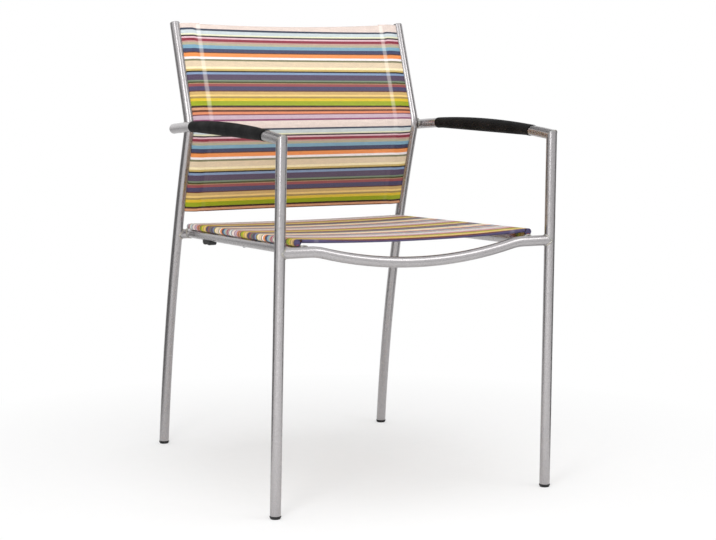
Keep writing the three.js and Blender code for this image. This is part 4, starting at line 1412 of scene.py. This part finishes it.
CHAIR_MIDDLE = Vector((0.0, 0.0, 0.42))
CAMERA_PLACE = Vector((-1.370, -2.988, 0.7775))
CAMERA_TURN = math.radians(25.19)
CAMERA_DIP = math.radians(6.92)
CAMERA_LENS = 87.6
SENSOR_WIDTH = 36.0


def aim(thing, target):
    thing.rotation_euler = (target - thing.location).to_track_quat("-Z", "Y").to_euler()


def make_camera():
    data = bpy.data.cameras.new("photo_camera")
    data.lens = CAMERA_LENS
    data.sensor_width = SENSOR_WIDTH
    data.sensor_fit = "HORIZONTAL"
    camera = add_object("photo_camera", data)
    camera.location = CAMERA_PLACE
    heading = Vector((
        math.sin(CAMERA_TURN) * math.cos(CAMERA_DIP),
        math.cos(CAMERA_TURN) * math.cos(CAMERA_DIP),
        -math.sin(CAMERA_DIP),
    ))
    aim(camera, CAMERA_PLACE + heading)
    bpy.context.scene.camera = camera


def make_softbox(name, turn, rise, distance, size, power, mirrored=True):
    """A soft light aimed at the chair, turned from straight ahead of it and raised, in degrees."""
    turn = math.radians(turn)
    rise = math.radians(rise)
    flat = distance * math.cos(rise)
    offset = Vector((flat * math.sin(turn), -flat * math.cos(turn), distance * math.sin(rise)))
    data = bpy.data.lights.new(name, "AREA")
    data.shape = "RECTANGLE"
    data.size, data.size_y = size
    data.energy = power
    light = add_object(name, data)
    light.location = CHAIR_MIDDLE + offset
    light.visible_glossy = mirrored
    aim(light, CHAIR_MIDDLE)


WHITE = (1.0, 1.0, 1.0, 1.0)
AMBIENT_LEVEL = 0.7


def make_world():
    """White for rays from the camera, or by way of metal or glass, and dimmer for scattered light."""
    graph = Graph(bpy.data.worlds.new("studio"))
    path = graph.node("LightPath").outputs
    seen = graph.math("MAXIMUM", path["Is Camera Ray"], path["Is Glossy Ray"])
    seen = graph.math("MAXIMUM", seen, path["Is Transmission Ray"])
    strength = graph.fit(seen, (0.0, 1.0), (AMBIENT_LEVEL, 1.0))
    light = graph.node("Background", {"Color": WHITE, "Strength": strength})
    graph.node("OutputWorld", {"Surface": light.outputs[0]})
    bpy.context.scene.world = graph.owner


FLOOR_HALF_WIDTH = 14.0
FLOOR_FADE_DISTANCES = (0.25, 1.0)
FLOOR_FADE_SHARES = (0.3, 1.0)


def make_floor():
    """A pale floor that turns into the white background some way from the chair."""
    half = FLOOR_HALF_WIDTH
    mesh = bpy.data.meshes.new("studio_floor")
    corners = [(-half, -half, 0), (half, -half, 0), (half, half, 0), (-half, half, 0)]
    mesh.from_pydata(corners, [], [(0, 1, 2, 3)])
    graph = material_graph("studio_floor")
    where = graph.frame_place()
    far = graph.node("VectorMath", {0: where}, operation="LENGTH").outputs["Value"]
    camera_ray = graph.node("LightPath").outputs["Is Camera Ray"]
    fade = graph.times(graph.fit(far, FLOOR_FADE_DISTANCES, FLOOR_FADE_SHARES), camera_ray)
    grain = graph.noise(where, scale=40.0, detail=3.0)
    tone = graph.mix(grain, linear("f4f4f4"), linear("f8f8f8"))
    matt = graph.node("BsdfDiffuse", {"Color": tone})
    glow = graph.node("Emission", {"Color": WHITE})
    mixed = graph.node("MixShader", {0: fade, 1: matt.outputs[0], 2: glow.outputs[0]})
    mesh.materials.append(graph.finished(mixed))
    add_object("studio_floor", mesh)


# Cards that only metal mirrors. Their levels say how brightly they shine, where 1 is white.
FLAG_DISTANCE = 1.3
FLAG_STEPS = 12
FLAG_LEVEL_HEIGHTS = (0.3, 0.9)
APRON_REACH = (0.45, 0.85)
APRON_LEVEL = 0.8
APRON_LIFT = 0.5 * MM
BACK_CARD_PLACE = 1.5
BACK_CARD_SIDES = (-1.1, 1.0)
BACK_CARD_HEIGHTS = (0.9, 1.38, 1.46, 2.1)
BACK_CARD_LEVELS = (1.15, 0.15)


def mirrored_card(name, rows, graph, level):
    """Makes a card that only metal mirrors, shining by a level worked out in its graph."""
    glow = graph.node("Emission", {"Color": WHITE, "Strength": level})
    card = grid_object(name, graph.finished(glow), rows)
    card.visible_camera = False
    card.visible_diffuse = False
    card.visible_shadow = False
    card.visible_transmission = False


def make_flag(name, turns, height, levels):
    """A dark curved card beside the chair, to draw the edges of the tubes.

    Its foot goes on as an apron on the floor towards the chair, and gets lighter there."""
    lift = UPWARD * APRON_LIFT
    rows = []
    for turn in spread(*turns, FLAG_STEPS):
        heading = CAMERA_TURN + math.radians(turn)
        outward = Vector((math.sin(heading), math.cos(heading), 0))
        foot = outward * FLAG_DISTANCE + lift
        rows.append([outward * APRON_REACH[0] + lift, foot, foot + UPWARD * height])
    graph = material_graph(name)
    x, y, z = graph.parts(graph.frame_place())
    away = graph.math("ADD", graph.math("POWER", x, 2.0), graph.math("POWER", y, 2.0))
    away = graph.math("SQRT", away)
    apron = graph.fit(away, APRON_REACH, (APRON_LEVEL, levels[0]))
    level = graph.math("MAXIMUM", graph.fit(z, FLAG_LEVEL_HEIGHTS, levels), apron)
    mirrored_card(name, rows, graph, level)


def make_back_card():
    """A card behind the chair, light below and dark above, which the arms' upper sides mirror."""
    rows = [[Vector((x, BACK_CARD_PLACE, z)) for x in BACK_CARD_SIDES] for z in BACK_CARD_HEIGHTS]
    graph = material_graph("back_card")
    height = graph.parts(graph.frame_place())[2]
    level = graph.fit(height, BACK_CARD_HEIGHTS[1:3], BACK_CARD_LEVELS)
    mirrored_card("back_card", rows, graph, level)


def make_stage():
    make_camera()
    make_world()
    make_floor()
    make_softbox("left_strip", turn=-41, rise=23, distance=2.4, size=(0.55, 2.15), power=18)
    make_softbox("right_strip", turn=34, rise=40, distance=2.4, size=(0.7, 0.8), power=5)
    make_softbox(
        "overhead_box", turn=0, rise=80, distance=2.3, size=(2.0, 1.6), power=15, mirrored=False,
    )
    make_softbox(
        "front_fill", turn=-12, rise=1, distance=2.7, size=(2.4, 0.8), power=18, mirrored=False,
    )
    make_back_card()
    make_flag("flag_left", turns=(-60, -118), height=1.2, levels=(0.22, 0.35))
    make_flag("flag_right", turns=(62, 100), height=1.7, levels=(0.2, 0.24))


make_stage()
for word, side in SIDES.items():
    make_leg_and_arm(word, side)
    make_arm_cap(word, side)
    make_rear_post(word, side)
    make_post_plug(word, side)
    make_arm_weld(word, side)
    make_side_rail(word, side)
    make_seat_rod(word, side)
    make_rod_screws(word, side)
    make_bumper(word, side)
    refine_node(f"back_keder_rod_{word}", KEDER_EDGE, keder_plastic)
    make_arm_pad(word, side)
    make_glides(word, side)
make_front_rail()
make_rear_rail()
make_back_sling()
make_seat_sling()

bpy.context.scene.view_settings.view_transform = "Standard"
